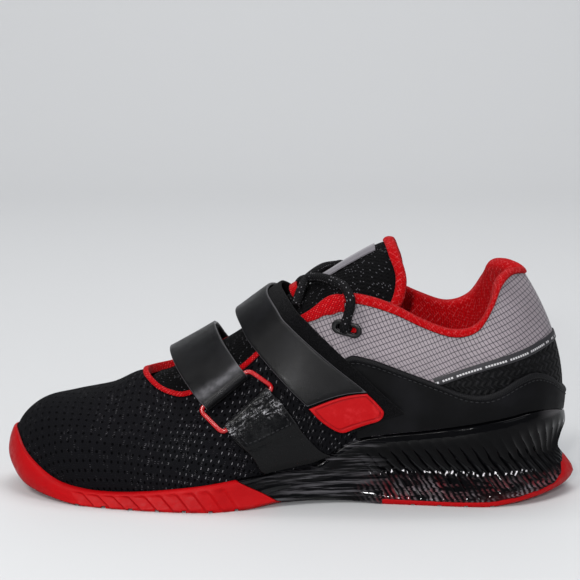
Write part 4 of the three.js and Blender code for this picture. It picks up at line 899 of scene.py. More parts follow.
def strap_finish(colours):
    black = tuple(colours.black)
    finish = Finish("strap_leather", black, 0.42, 0.15)
    where = finish.place()
    rim = finish.mark("rim")
    edge = finish.ramp(rim, 0.15, 0.5, 1.0, 0.0)
    # Lighter patches: scuffs and a painted sheen.
    scuff_and_sheen = finish.ramp(finish.noise(where, 0.05, 4.0, 0.6), 0.4, 0.72)
    tone = finish.blend(finish.times(scuff_and_sheen, 0.5), black, srgb(22, 22, 25))
    # A pale streak past the fold: painted highlight, broken up by noise.
    wear_and_gleam = finish.ramp(finish.noise(where, 0.3, 3.0, 0.5), 0.35, 0.65, 0.55, 1.0)
    gleam = finish.times(finish.mark("fold"), finish.mark("fold"), wear_and_gleam, 0.45)
    tone = finish.blend(gleam, tone, srgb(118, 117, 121))
    finish.paint(finish.times(edge, 0.7), tone, srgb(78, 77, 80))
    finish.rough(finish.ramp(finish.noise(where, 0.18, 4.0, 0.6), 0.3, 0.7, 0.28, 0.42))
    pores = finish.cells(where, 1.7, feature="DISTANCE_TO_EDGE")
    grain = finish.bump(finish.ramp(pores, 0.02, 0.2), 0.05, 0.5)
    finish.bump(finish.noise(where, 0.07, 2.0), 0.5, 0.35, below=grain)
    return finish.material


def pile_finish(colours):
    black = tuple(colours.black)
    finish = Finish("strap_pile", black, 0.95, 0.05, Sheen_Weight=0.03)
    where = finish.place()
    loops = finish.cells(where, 2.2)
    # Tops of the loops painted lighter: painted highlights.
    finish.paint(finish.ramp(loops, 0.1, 0.5, 0.35, 0.0), black, srgb(44, 43, 46))
    finish.bump(loops, -0.4, 1.0)
    return finish.material


def anchor_finish(colours):
    black = tuple(colours.black)
    finish = Finish("anchor_band", black, 0.18, 0.14, Coat_Weight=0.06)
    where = finish.place()
    near = finish.mark("fold")
    warped = finish.noise(where, 0.16, 3.0, 0.5, 1.4)
    drawn = finish.noise(finish.turned(finish.cloth(), 6.0, (1.1, 4.5)), 1.0, 3.0, 0.6, 0.7)
    crinkle = finish.ramp(drawn, 0.46, 0.62)
    patch = finish.ramp(finish.noise(where, 0.09, 3.0, 0.6, 0.5), 0.45, 0.6)
    speckle = finish.ramp(finish.noise(where, 1.3, 3.0, 0.6), 0.42, 0.6)
    # A thin pale line along the turn round the ring: painted highlight.
    bent = finish.times(finish.mark("bend"), finish.ramp(drawn, 0.3, 0.5, 0.4, 1.0), 0.75)
    # Pale streaks across the band past the fold, and the line at the turn: painted highlights.
    crinkle_highlights = finish.math("MAXIMUM", finish.times(crinkle, near, patch, speckle), bent)
    finish.paint(finish.times(crinkle_highlights, 0.75), black, srgb(186, 184, 188))
    finish.rough(finish.ramp(finish.noise(where, 0.2, 4.0, 0.6), 0.35, 0.7, 0.14, 0.34))
    folds = finish.bump(finish.times(warped, finish.math("ADD", near, 0.25)), 1.1, 0.6)
    finish.bump(finish.times(crinkle, near), 0.3, 0.6, below=folds)
    return finish.material


def ring_finish(colours):
    red = tuple(colours.red)
    finish = Finish("ring_enamel", red, 0.25, 0.4, Coat_Weight=0.5, Coat_Roughness=0.08)
    where = finish.place()
    rubbed = finish.ramp(finish.noise(where, 0.4, 4.0, 0.65), 0.5, 0.72)
    finish.paint(finish.times(rubbed, 0.35), red, srgb(198, 70, 74))
    finish.rough(finish.ramp(rubbed, 0.0, 1.0, 0.2, 0.42))
    finish.bump(finish.noise(where, 0.7, 2.0), 0.03, 0.5)
    return finish.material


def tab_finish(colours):
    red = tuple(colours.red)
    finish = Finish("tab_rubber", red, 0.5, 0.1)
    where = finish.place()
    rim = finish.mark("rim")
    inner = finish.ramp(rim, 1.3, 1.7)
    border = finish.times(inner, finish.ramp(rim, 2.1, 2.5, 1.0, 0.0))
    # The pressed border is painted darker: painted shade in its groove.
    tone = finish.blend(finish.times(border, 0.5), red, srgb(112, 4, 10))
    wear_and_gleam = finish.ramp(finish.noise(where, 0.2, 4.0, 0.6), 0.5, 0.75, 0.0, 0.4)
    finish.paint(wear_and_gleam, tone, srgb(186, 40, 44))
    grain = finish.bump(finish.noise(where, 2.2, 2.0), 0.05, 0.5)
    finish.bump(finish.math("SUBTRACT", 1.0, border), 0.35, 0.9, below=grain)
    return finish.material


def thread_finish(name, tone):
    finish = Finish(name, tone, 0.6, 0.3)
    where = finish.place()
    twist = finish.noise(where, 4.0, 2.0)
    finish.paint(finish.ramp(twist, 0.35, 0.65, 0.0, 0.4), tone, scaled(tone, 0.4))
    finish.bump(twist, 0.05, 0.8)
    return finish.material


def eyelet_finish(colours):
    black = tuple(colours.black)
    finish = Finish("eyelet_plastic", black, 0.4, 0.2)
    where = finish.place()
    rubbed = finish.ramp(finish.noise(where, 0.5, 4.0, 0.6), 0.5, 0.75)
    finish.paint(finish.times(rubbed, 0.4), black, srgb(58, 57, 60))
    finish.rough(finish.ramp(rubbed, 0.0, 1.0, 0.34, 0.5))
    finish.bump(finish.noise(where, 2.0, 2.0), 0.03, 0.5)
    return finish.material


# Shapes grown by nodes along a line


def growing(name, inputs):
    """Empty node tree that takes lines and the named values."""
    tree = bpy.data.node_groups.new(name, "GeometryNodeTree")
    tree.interface.new_socket("Geometry", in_out="INPUT", socket_type="NodeSocketGeometry")
    for label, kind, default in inputs:
        socket = tree.interface.new_socket(label, in_out="INPUT", socket_type=kind)
        socket.default_value = default
    tree.interface.new_socket("Geometry", in_out="OUTPUT", socket_type="NodeSocketGeometry")
    return tree


def grown(tree, kind, inputs=None, output=0, **settings):
    node = tree.nodes.new(kind)
    for key, value in settings.items():
        setattr(node, key, value)
    for socket, value in (inputs or {}).items():
        target = node.inputs[socket]
        if isinstance(value, bpy.types.NodeSocket):
            tree.links.new(value, target)
        else:
            target.default_value = value
    return node.outputs[output]


def finished(tree, shape, material):
    shape = grown(tree, "GeometryNodeRealizeInstances", {"Geometry": shape})
    shape = grown(tree, "GeometryNodeSetShadeSmooth", {"Geometry": shape})
    shape = grown(tree, "GeometryNodeSetMaterial", {"Geometry": shape, "Material": material})
    grown_out = tree.nodes.new("NodeGroupOutput")
    tree.links.new(shape, grown_out.inputs[0])
    return tree


def stitch_tree(material):
    """A rounded stitch at even steps along each line, turned by the line and its up direction."""
    tree = growing("stitches", (
        ("Spacing", "NodeSocketFloat", 0.003), ("Length", "NodeSocketFloat", 0.002),
        ("Thickness", "NodeSocketFloat", 0.0006), ("Seed", "NodeSocketInt", 7),
    ))
    given = tree.nodes.new("NodeGroupInput").outputs
    line = grown(tree, "GeometryNodeMeshToCurve", {"Mesh": given["Geometry"]})
    line = grown(tree, "GeometryNodeResampleCurve", {"Curve": line, "Length": given["Spacing"]},
                 mode="LENGTH")
    ball = grown(tree, "GeometryNodeMeshUVSphere", {"Segments": 8, "Rings": 4, "Radius": 0.5})
    stretch = grown(tree, "ShaderNodeCombineXYZ",
                    {0: given["Length"], 1: given["Thickness"], 2: given["Thickness"]})
    ball = grown(tree, "GeometryNodeTransform", {"Geometry": ball, "Scale": stretch})
    along = grown(tree, "GeometryNodeInputTangent")
    up = grown(tree, "GeometryNodeInputNamedAttribute", {"Name": "up"}, data_type="FLOAT_VECTOR")
    turn = grown(tree, "FunctionNodeAlignRotationToVector", {"Vector": along}, axis="X")
    turn = grown(tree, "FunctionNodeAlignRotationToVector", {"Rotation": turn, "Vector": up}, axis="Z",
                 pivot_axis="X")
    uneven = grown(tree, "FunctionNodeRandomValue", {2: 0.88, 3: 1.1, "Seed": given["Seed"]}, output=1)
    spread = grown(tree, "GeometryNodeInstanceOnPoints",
                   {"Points": line, "Instance": ball, "Rotation": turn, "Scale": uneven})
    return finished(tree, spread, material)


def cord_tree(material, thickness):
    """A round cord along each line, marked with the distance round it in millimetres."""
    tree = growing("cord", (("Thickness", "NodeSocketFloat", 0.005), ("Sides", "NodeSocketInt", 20)))
    given = tree.nodes.new("NodeGroupInput").outputs
    line = grown(tree, "GeometryNodeMeshToCurve", {"Mesh": given["Geometry"]})
    radius = grown(tree, "ShaderNodeMath", {0: given["Thickness"], 1: 0.5}, operation="MULTIPLY")
    ring = grown(tree, "GeometryNodeCurvePrimitiveCircle", {"Resolution": given["Sides"], "Radius": radius})
    index = grown(tree, "GeometryNodeInputIndex")
    share = grown(tree, "ShaderNodeMath", {0: index, 1: given["Sides"]}, operation="DIVIDE")
    around = grown(tree, "ShaderNodeMath", {0: share, 1: math.pi * thickness}, operation="MULTIPLY")
    ring = grown(tree, "GeometryNodeStoreNamedAttribute",
                 {"Geometry": ring, "Name": "around", "Value": around}, data_type="FLOAT", domain="POINT")
    cord = grown(tree, "GeometryNodeCurveToMesh",
                 {"Curve": line, "Profile Curve": ring, "Fill Caps": True})
    return finished(tree, cord, material)


def line_piece(name, lines, tree, **values):
    """Piece grown along lines, each a pair of points and up directions in millimetres."""
    points, ups, runs, edges = [], [], [], []
    for path, up in lines:
        path = np.asarray(path, float)
        start = len(points)
        points.extend((path * MM).tolist())
        ups.extend(np.broadcast_to(up, path.shape).tolist())
        runs.extend(path_lengths(path).tolist())
        edges.extend((start + i, start + i + 1) for i in range(len(path) - 1))
    mesh = bpy.data.meshes.new(name)
    mesh.from_pydata(points, edges, [])
    mesh.attributes.new("up", "FLOAT_VECTOR", "POINT").data.foreach_set(
        "vector", np.asarray(ups, np.float32).ravel())
    mesh.attributes.new("run", "FLOAT", "POINT").data.foreach_set("value", np.asarray(runs, np.float32))
    piece = bpy.data.objects.new(name, mesh)
    bpy.context.scene.collection.objects.link(piece)
    modifier = piece.modifiers.new("grow", "NODES")
    modifier.node_group = tree
    for item in tree.interface.items_tree:
        if item.item_type == "SOCKET" and item.in_out == "INPUT" and item.name in values:
            modifier[item.identifier] = values[item.name]
    return baked(piece)


def box_line(rows, first, last_row, low, high, lift):
    """Stitch line round three sides of a box on a band: down one side, across, and back."""
    middles = (rows[:, 0] + rows[:, -1]) / 2
    up = unit(np.cross(np.gradient(middles, axis=0), rows[:, -1] - rows[:, 0]))
    inside = rows.mean((0, 1))
    side = np.sign(np.sum(up * (rows[:, 6] - inside), -1))
    up = up * np.where(side == 0, 1.0, side)[:, None]
    take = list(range(first, last_row + 1))
    across = np.array(ACROSS)

    def at_share(row, share):
        return np.array([np.interp(share, across, rows[row, :, k]) for k in range(3)])

    path = [at_share(r, low) for r in take]
    ups = [up[r] for r in take]
    for share in np.linspace(low, high, 8)[1:-1]:
        path.append(at_share(last_row, share))
        ups.append(up[last_row])
    path += [at_share(r, high) for r in take[::-1]]
    ups += [up[r] for r in take[::-1]]
    ups = np.array(ups)
    return np.array(path) + ups * lift, ups


# Pieces


def side_inset(last, s, height):
    """How far the sole's side stands inside the outline at a share of its height."""
    rows = np.array(SIDE_ROWS)
    profile = at("profile", s)
    left = np.clip(np.floor(np.clip(profile, 0, 3.999)).astype(int), 0, 3)
    insets = eased(rows[:, 0], rows[:, 1:], np.clip(height, 0, 1))
    pick = np.arange(len(left))
    near, far = insets[pick, left], insets[pick, left + 1]
    return last.ledge * (near + (far - near) * (profile - left))


def lean_inside(start, end, amount, fade):
    def lean(d):
        return amount * smooth(start - fade, start, d) * (1 - smooth(end, end + fade, d))
    return lean


LIP_ROUNDING = ((0.0, 0.0), (0.35, 0.12), (0.7, 0.45), (1.0, 1.1))


def sole_rings(last, distances, rib, lean, base=None, heights=22):
    """Rings of the sole from its underside up the ribbed side, over the lip and down into the cup."""
    rings = []
    lip_round = 1.2
    for k in range(heights + len(LIP_ROUNDING) - 1):
        share = min(k, heights - 1) / (heights - 1)
        share = 0.5 - 0.5 * math.cos(math.pi * share) if k < heights else 1.0
        places = distances + lean(distances) * (0.5 - share)
        stations = last.station_at(places)
        stations[0], stations[-1] = 0, LAST_STATION
        s = both_sides(stations, -1)
        floor, lip = last.floor(s), last.lip(s)
        edge = last.edge(s)
        low = floor if base is None else base(s, edge[:, 0], floor)
        z = low + (lip - lip_round - low) * share
        inward = np.zeros(len(s))
        if k >= heights:
            rise, draw = LIP_ROUNDING[k - heights + 1]
            z = z + lip_round * rise
            inward = inward + lip_round * draw
        height = (z - floor) / (lip - floor)
        ribs = both_sides(rib(distances, share)) * (1 - smooth(0.7, 0.9, height))
        inset = side_inset(last, s, height) + ribs + inward
        point = edge - last.outward(s) * inset[:, None]
        point[:, 2] = z
        rings.append(point)
    inside = last.station_at(distances)
    inside[0], inside[-1] = 0, LAST_STATION
    s = both_sides(inside, -1)
    top = last.wall_share(s, last.lip(s))
    for share in (1, 0.85, 0.6, 0.35, 0.1, 0):
        point = last.skin(s, top * share, CUP_GAP)
        if share == 1:
            point[:, 2] = last.lip(s)
        if share == 0:
            point[:, 2] = last.deck(s) - GAP
        rings.append(point)
    return np.array(rings)


def bisected(piece, point, normal, tolerance=1e-7):
    """Cuts away what lies in front of a plane and fills the cut."""
    bm = bmesh.new()
    bm.from_mesh(piece.data)
    geometry = bm.verts[:] + bm.edges[:] + bm.faces[:]
    cut = bmesh.ops.bisect_plane(bm, geom=geometry, dist=tolerance, plane_co=point,
                                 plane_no=normal, clear_outer=True)
    edges = [e for e in cut["geom_cut"] if isinstance(e, bmesh.types.BMEdge)]
    bmesh.ops.triangle_fill(bm, edges=edges, use_beauty=True, normal=normal)
    bm.to_mesh(piece.data)
    bm.free()
    piece.data.shade_smooth()
    piece.data.set_sharp_from_angle(angle=math.radians(40))
    return piece


def cut_with(piece, tool, operation="DIFFERENCE"):
    """Boolean of a piece with a tool, which is then thrown away."""
    modifier = piece.modifiers.new("cut", "BOOLEAN")
    modifier.operation, modifier.solver, modifier.object = operation, "EXACT", tool
    baked(piece)
    mesh = tool.data
    bpy.data.objects.remove(tool)
    bpy.data.meshes.remove(mesh)
    piece.data.shade_smooth()
    piece.data.set_sharp_from_angle(angle=math.radians(40))
    return piece


def bar(name, centre, size, turn=0.0):
    """Box of a size in millimetres, turned about the vertical."""
    bm = bmesh.new()
    bmesh.ops.create_cube(bm, size=1.0)
    bmesh.ops.scale(bm, vec=[x * MM for x in size], verts=bm.verts)
    bmesh.ops.rotate(bm, cent=(0, 0, 0), matrix=Matrix.Rotation(turn, 3, "Z"), verts=bm.verts)
    bmesh.ops.translate(bm, vec=[x * MM for x in centre], verts=bm.verts)
    mesh = bpy.data.meshes.new(name)
    bm.to_mesh(mesh)
    bm.free()
    box = bpy.data.objects.new(name, mesh)
    bpy.context.scene.collection.objects.link(box)
    return box


JOINT_SHARE, JOINT_Z, JOINT_ANGLE = -0.06, 10.0, -1.05
FOREFOOT_FADE, HEEL_FADE = 25.0, 40.0


def grooved(piece, last, places, turn, deep):
    """The piece with grooves across its tread."""
    for place in places:
        groove = bar("groove", (place * last.length, 0, 0), (2.2, last.ball_width * 1.3, deep), turn)
        cut_with(piece, groove)
    return piece


def joint_plane(last, offset=0.0):
    normal = Vector((math.cos(JOINT_ANGLE), 0, -math.sin(JOINT_ANGLE)))
    x = last.length * JOINT_SHARE + offset
    return Vector((x, 0, JOINT_Z + offset)) * MM, normal


def forefoot_outsole(last, sizes, finish):
    start, end = last.distance_at(3.9), last.distance_at(8.4)
    pitch = sizes.lug_pitch / MM
    depth = sizes.lug_depth / MM
    count = round((end - start) / pitch)
    shape = ((0, 0.0), (0.08, 0.1), (0.5, 0.75), (0.72, 1.0), (0.8, 1.0), (0.93, 0.25), (1, 0.0))
    front = np.linspace(0, start, 110, endpoint=False)
    fine = start + pitch * np.arange(count * 14) / 14
    stop = start + count * pitch
    rear = np.linspace(stop, min(stop + 90, last.outline_length), 50)
    distances = np.concatenate([front, fine, rear, [last.outline_length]])

    def rib(d, share):
        phase = np.mod((d - start) / pitch, 1.0)
        depth_here = np.interp(phase, [x[0] for x in shape], [x[1] for x in shape])
        inside = (d >= start) & (d < stop)
        return np.where(inside, depth * depth_here, 0.0) * float(smooth(0.0, 0.12, share))

    lean = lean_inside(start, end, sizes.lug_lean / MM, FOREFOOT_FADE)
    rings = sole_rings(last, distances, rib, lean)
    piece = piece_mesh("sole_forefoot", rings, [finish], ends="ladder", crease=30)
    bisected(piece, *joint_plane(last))
    return grooved(piece, last, FOREFOOT_GROOVES, 0.12, 2.6)


def tread_top(t):
    rows = np.array(TREAD_TOP_ROWS)
    t = np.clip(t, rows[0, 0], rows[-1, 0])
    i = np.clip(np.searchsorted(rows[:, 0], t, side="right") - 1, 0, len(rows) - 2)
    low, high = rows[i], rows[i + 1]
    return 19.0 * (low[:, 1] + (high[:, 1] - low[:, 1]) * smooth(low[:, 0], high[:, 0], t))


HEEL_RUBBER_SHARE = 0.158


def heel_unit(last, sizes, finish):
    start = last.distance_at(12.7)
    pitches = int((last.outline_length - start) / (sizes.fin_pitch / MM))
    pitch = (last.outline_length - start) / pitches
    depth = sizes.fin_depth / MM
    first = last.distance_at(8.0)
    distances = np.concatenate([
        np.linspace(0, first, 16, endpoint=False), np.linspace(first, start - pitch, 110, endpoint=False),
        np.linspace(start - pitch, last.outline_length, pitches * 10 + 11),
    ])

    def rib(d, share):
        wave = np.abs(np.cos(math.pi * (d - start) / pitch)) ** 0.75
        there = smooth(start - pitch * 1.5, start, d)
        foot = smooth(-0.02, 0.16, share)
        return depth * there * wave * foot * (1 - 0.4 * smooth(0.4, 0.65, share))

    front = HEEL_RUBBER_SHARE * last.length

    def base(s, x, floor):
        t = np.minimum(np.abs(s), AROUND - np.abs(s))
        return np.where(x < front - GAP, floor, tread_top(t) + GAP)

    end = last.outline_length - HEEL_FADE
    lean = lean_inside(start, end, sizes.fin_lean / MM, HEEL_FADE)
    rings = sole_rings(last, distances, rib, lean, base, heights=26)
    piece = piece_mesh("heel_moulding", rings, [finish], ends="ladder", crease=55)
    point, normal = joint_plane(last, GAP)
    return bisected(piece, point, -normal)


def heel_outsole(last, finish):
    front = HEEL_RUBBER_SHARE * last.length
    begin = last.distance_at(12.2)
    distances = np.linspace(begin, last.outline_length, 170)
    stations = last.station_at(distances)
    stations[-1] = LAST_STATION
    s = np.concatenate([stations, -stations[:-1][::-1]])
    floor, lip, edge, out = last.floor(s), last.lip(s), last.edge(s), last.outward(s)
    top = tread_top(np.abs(s))
    rings = []
    for share, draw in ((0, 0.5), (0.12, 0.12), (0.3, 0), (0.5, 0), (0.7, 0), (0.88, 0.05), (1, 0.35)):
        z = floor + (top - floor) * share
        inset = side_inset(last, s, (z - floor) / (lip - floor)) + draw
        point = edge - out * inset[:, None]
        point[:, 2] = z
        rings.append(point)
    piece = piece_mesh("sole_heel", np.array(rings), [finish], ends="strip", crease=35)
    bisected(piece, Vector((front * MM, 0, 0)), Vector((-1, 0, 0)))
    return grooved(piece, last, HEEL_GROOVES, 0, 1.6)


# Upper and its overlays

AROUND_STEPS = 528
VAMP_END = 11.2
HEEL_PANEL = 14.6
TAPE_START, TAPE_LOW, TAPE_SLOPE, TAPE_HALF = 79.0, 66.5, 0.285, 1.9


def trough(points, path, width):
    """Share, 0 to 1, of a soft trough along a path of points at each of the given points."""
    best = np.full(points.shape[:-1], 1e9)
    for a, b in zip(path[:-1], path[1:]):
        along = b - a
        f = np.clip(((points - a) @ along) / (along @ along), 0, 1)
        best = np.minimum(best, np.linalg.norm(points - a - f[..., None] * along, axis=-1))
    return np.exp(-((best / width) ** 2))


def creased(last, points, normals, creases):
    """Points moved along their normals by soft troughs (negative depth) and ridges."""
    for places, width, depth in creases:
        t = eased(np.arange(len(places)), np.array(places, float), np.linspace(0, len(places) - 1, 9))
        path = last.body(t[:, 0], t[:, 1], 0.0)
        points = points + normals * (depth * trough(points, path, width))[..., None]
    return points


VAMP_CREASES = (
    (((3.2, 0.45), (4.2, 0.62), (5.0, 0.86)), 6.0, -0.9),
    (((4.6, 0.3), (5.6, 0.5), (6.4, 0.74)), 5.0, -0.8),
    (((6.2, 0.3), (7.0, 0.45), (7.6, 0.6)), 5.0, -0.7),
    (((2.0, 0.3), (2.2, 0.6), (2.4, 0.85)), 8.0, -0.5),
    (((3.8, 0.35), (4.9, 0.5), (5.9, 0.75)), 4.5, 0.6),
    (((12.8, 0.7), (13.8, 0.8), (14.8, 0.9)), 6.0, -0.5),
    (((16.3, 0.75), (16.9, 0.6), (17.2, 0.5)), 7.0, -0.6),
)


TOE_SINK = 4.2


def sunk(points, share):
    """The top of the toe box let down a little ahead of the throat."""
    x = points[..., 0]
    there = smooth(-139.0, -118.0, x) * (1 - smooth(-97.0, -79.0, x)) * smooth(0.35, 0.8, share)[None]
    points = points.copy()
    points[..., 2] -= TOE_SINK * there
    return points


def wall_cloth(last, s, points):
    """Places on the flat cut cloth of the vamp and of the back part, in millimetres."""
    lengths = path_lengths(points.transpose(1, 0, 2)).T
    total = lengths[:, -1:]
    rim, foot = points[:, -1, :2], points[:, 0, :2]
    out = unit(foot - rim)[:, None]
    vamp = rim[:, None] + out * (total - lengths)[..., None]
    centre, radius = 100.0, 36.0
    edge = last.edge(s)
    x, y = edge[:, 0], edge[:, 1]
    angle = np.arctan2(y, x - centre)
    along = np.where(x < centre, x, centre + radius * (math.pi / 2 - np.abs(angle)))
    back = np.stack([np.broadcast_to(along[:, None], lengths.shape), lengths + points[:, :1, 2]], -1)
    return vamp, back


def tape_share(last, s):
    """Share of the wall at which the heel tape runs: straight as seen from the side."""
    x = last.skin(s, 0.6, 0.0)[..., 0]
    return last.wall_share(s, TAPE_LOW + TAPE_SLOPE * (x - TAPE_START))


def upper_piece(last, finishes, thickness):
    s = np.arange(AROUND_STEPS) * AROUND / AROUND_STEPS
    v = np.linspace(0, 1, 42)
    outer = last.skin(s[:, None], v[None], 0.0)
    normals = last.skin(s[:, None], v[None], 1.0) - outer
    inner = last.skin(s[:, None], np.linspace(1, 0, 14)[None], -thickness)
    vamp, back = wall_cloth(last, s, outer)
    outer, inner = (sunk(points, share) for points, share in (
        (outer, v), (inner, np.linspace(1, 0, inner.shape[1]))))
    outer = creased(last, outer, normals, VAMP_CREASES)
    points = np.concatenate([outer, inner], axis=1)
    m = points.shape[1]
    t = np.minimum(s, AROUND - s)
    middle_t = (t + np.roll(t, -1)) / 2
    tags = np.zeros((len(s), m), int)
    middle_v = (v[:-1] + v[1:]) / 2
    tape = tape_share(last, s)
    front_edge = VAMP_END + 1.4 * (1 - smooth(0.5, 0.62, middle_v))
    quarter = middle_t[:, None] > front_edge[None]
    heel = (middle_t > HEEL_PANEL)[:, None] & (middle_v[None] < tape[:, None])
    tags[:, :len(middle_v)] = np.where(heel, 2, np.where(quarter, 1, 0))
    tags[:, len(middle_v):] = 3
    cloth = np.zeros((4, len(s) + 1, m + 1, 2))
    for tag, source in ((0, vamp), (1, back), (2, back)):
        wrapped = np.concatenate([source, source[:1]])
        cloth[tag, :, :len(v)] = wrapped
        cloth[tag, :, len(v):] = wrapped[:, -1:]
    cloth[3, :, :, 0] = np.linspace(0, 700, len(s) + 1)[:, None]
    cloth[3, :, :, 1] = np.linspace(0, 160, m + 1)[None]
    return piece_mesh("upper_shell", points, finishes, closed=True, uv=cloth, tags=tags)


def onto_body(last, shape, t, q, lift, turn):
    """Flat points (x, y, z) laid on the body: z along its normal, x turned from the foot's length."""
    origin = last.body(t, q, lift)
    normal = unit(last.body(t, q, lift + 1.0) - origin)
    along = unit(last.body_point(t + SMALL_STEP, q) - last.body_point(t - SMALL_STEP, q))
    across = unit(np.cross(normal, along))
    along = np.cross(across, normal)
    x = along * math.cos(turn) + across * math.sin(turn)
    y = np.cross(normal, x)
    shape = np.asarray(shape, float)
    return origin + shape[..., :1] * x + shape[..., 1:2] * y + shape[..., 2:3] * normal


def stadium(length, width, count=24):
    """Outline of an oblong with round ends, anticlockwise."""
    radius, reach = width / 2, (length - width) / 2
    turn = np.linspace(-math.pi / 2, math.pi / 2, count)
    right = np.stack([reach + radius * np.cos(turn), radius * np.sin(turn)], -1)
    return np.concatenate([right, -right])


EYELETS = (("lateral", 12.6, 0.83, -0.24), ("medial", 12.6, 2.17, 0.24))


def eyelet_piece(last, sizes, finish, name, t, q, turn):
    outer, inner = stadium(sizes.eyelet_length / MM, sizes.eyelet_width / MM), stadium(10.5, 3.2)
    high = sizes.eyelet_thickness / MM
    rows = []
    for share, z in ((0, 0), (0, 0.6), (0.06, 0.9), (0.2, 1), (0.75, 1), (0.93, 0.85), (1, 0.5), (1, 0)):
        flat = outer * (1 - share) + inner * share
        rows.append(np.column_stack([flat, np.full(len(flat), z * high)]))
    rows = np.array(rows).transpose(1, 0, 2)
    points = onto_body(last, rows, t, q, 2 * GAP, turn)
    return piece_mesh("eyelet_top_" + name, points, [finish], closed=True, crease=50)


def eyelet_cutter(last, t, q, turn, depth):
    ring = stadium(10.5, 3.2)
    rows = [np.column_stack([ring, np.full(len(ring), z)]) for z in (-depth, depth)]
    return piece_mesh("eyelet_cut", onto_body(last, rows, t, q, 0.0, turn), [], ends="strip")


def wall_band(last, s, low, high, outer, inner, steps=14, rounding=0.5):
    """Sections of a thin overlay between two shares of the wall, with rounded edges."""
    v = low[:, None] + (high - low)[:, None] * np.linspace(0, 1, steps)[None]
    face = last.skin(s[:, None], v, outer)
    back = last.skin(s[:, None], v[:, ::-1], inner)
    middle = outer - (outer - inner) * rounding
    length = last.wall_length(s)
    tuck = 0.35 / length
    foot = last.skin(s, low - tuck, middle)[:, None]
    top = last.skin(s, high + tuck, middle)[:, None]
    return np.concatenate([foot, face, top, back], axis=1)


def counter_top(t):
    rows = np.array(COUNTER_TOP_ROWS)
    return eased(rows[:, 0], rows[:, 1], t)


def counter_piece(last, finishes, thickness):
    s = np.linspace(12.2, AROUND - 12.2, 360)
    t = np.minimum(s, AROUND - s)
    low = last.wall_share(s, last.lip(s) + 2 * GAP)
    high = counter_top(t)
    length = last.wall_length(s)
    welt = 3.0 / length
    steps = np.linspace(0, 1, 14)
    v = low[:, None] + (high - welt - low)[:, None] * steps[None]
    edge = high[:, None] - welt[:, None] * np.array([0.97, 0.86, 0.66, 0.4, 0.16, 0.0])[None]
    lift = OVERLAY_GAP + thickness
    rise = np.array([0.05, 0.3, 0.42, 0.36, 0.12, -0.35])
    face = last.skin(s[:, None], v, lift)
    ridge = last.skin(s[:, None], edge, lift + rise[None])
    back = last.skin(s[:, None], (low[:, None] + (high - low)[:, None] * np.linspace(1, 0, 10)[None]),
                     OVERLAY_GAP)
    points = np.concatenate([face, ridge, back], axis=1)
    tags = np.zeros((len(s) - 1, points.shape[1]), int)
    tags[:, len(steps) - 1:len(steps) + 5] = 1
    run = path_lengths(face[:, -1:])[:, 0]
    cloth = np.zeros((len(s), points.shape[1] + 1, 2))
    cloth[..., 0] = run[:, None]
    cloth[:, :len(steps), 1] = v * length[:, None]
    cloth[:, len(steps):len(steps) + 6, 1] = edge * length[:, None]
    return piece_mesh("heel_counter", points, finishes, uv=cloth, tags=tags, crease=50)


def tape_piece(last, finish):
    places = np.linspace(14.85, AROUND - 14.85, 260)
    q = tape_share(last, places)
    half = TAPE_HALF / last.wall_length(places)
    sections = wall_band(last, places, q - half, q + half, 0.75, 0.15, steps=5)
    run = path_lengths(sections[:, 2:3])[:, 0]
    cloth = np.zeros((len(places), sections.shape[1] + 1, 2))
    cloth[..., 0] = run[:, None]
    cloth[:, 0, 1], cloth[:, 6:, 1] = -TAPE_HALF, TAPE_HALF
    cloth[:, 1:6, 1] = np.linspace(-TAPE_HALF, TAPE_HALF, 5)[None]
    return piece_mesh("heel_tape", sections, [finish], uv=cloth, crease=50)


# Linings and trims that follow the rim

EDGING_END = 12.6
COLLAR_FRONT = 12.5


def rounded(points, rounds=3):
    """A closed outline with its corners cut and cut again."""
    for _ in range(rounds):
        after = np.roll(points, -1, axis=-2)
        points = np.stack([points * 0.75 + after * 0.25, points * 0.25 + after * 0.75], -2)
        points = points.reshape(*points.shape[:-3], -1, 2)
    return points


def sections(count, corners):
    """A closed outline at each of count places; a corner's values may change from place to place."""
    return np.stack([np.stack([np.broadcast_to(x, count) for x in corner], -1) for corner in corners], 1)


def rim_points(last, s, up, out):
    """Points by the rim: up is millimetres past it, and out is off the wall."""
    rim, below = last.wall(s, 1.0), last.wall(s, 1 - SMALL_STEP)
    rise = rim - below
    per_share = np.linalg.norm(rise, axis=-1) / SMALL_STEP
    share = 1 + np.minimum(up, 0) / per_share[:, None]
    points = last.skin(s[:, None], share, out)
    return points + unit(rise)[:, None] * np.maximum(up, 0)[..., None]


def binding_piece(last, finish):
    s = np.linspace(-EDGING_END, EDGING_END, 430)
    t = np.abs(s)
    wide = 1.3 + 3.3 * smooth(10.2, 12, t) + 0.4 * np.sin(s * 11.0) * smooth(11.0, 12.0, t)
    over, inside = FOLD_GAP + EDGING, -last.upper_thickness - 0.6
    puffed = smooth(11.35, 12.05, t) * (1 - 0.25 * smooth(12.2, EDGING_END, t))
    rise = over + (4.6 - over) * puffed
    puff = 0.3 + 0.6 * puffed
    outline = rounded(sections(len(s), (
        (-wide, 0.5), (-wide * 1.02, over * 0.85), (-wide * 0.55, over + puff), (rise * 0.3, over + puff),
        (rise * 1.1, over + 0.3 - 0.8 * puffed), (rise * 1.15, -0.8), (rise, inside),
        (FOLD_GAP, inside), (FOLD_GAP, 0.5),
    )))
    points = rim_points(last, s, outline[..., 0], outline[..., 1])
    return piece_mesh("throat_edging", points, [finish], uv=wrapped_cloth(points, 20), crease=60)


def collar_pad(last, t):
    return last.collar_padding * (0.35 + 0.65 * smooth(COLLAR_FRONT, 15.5, t))


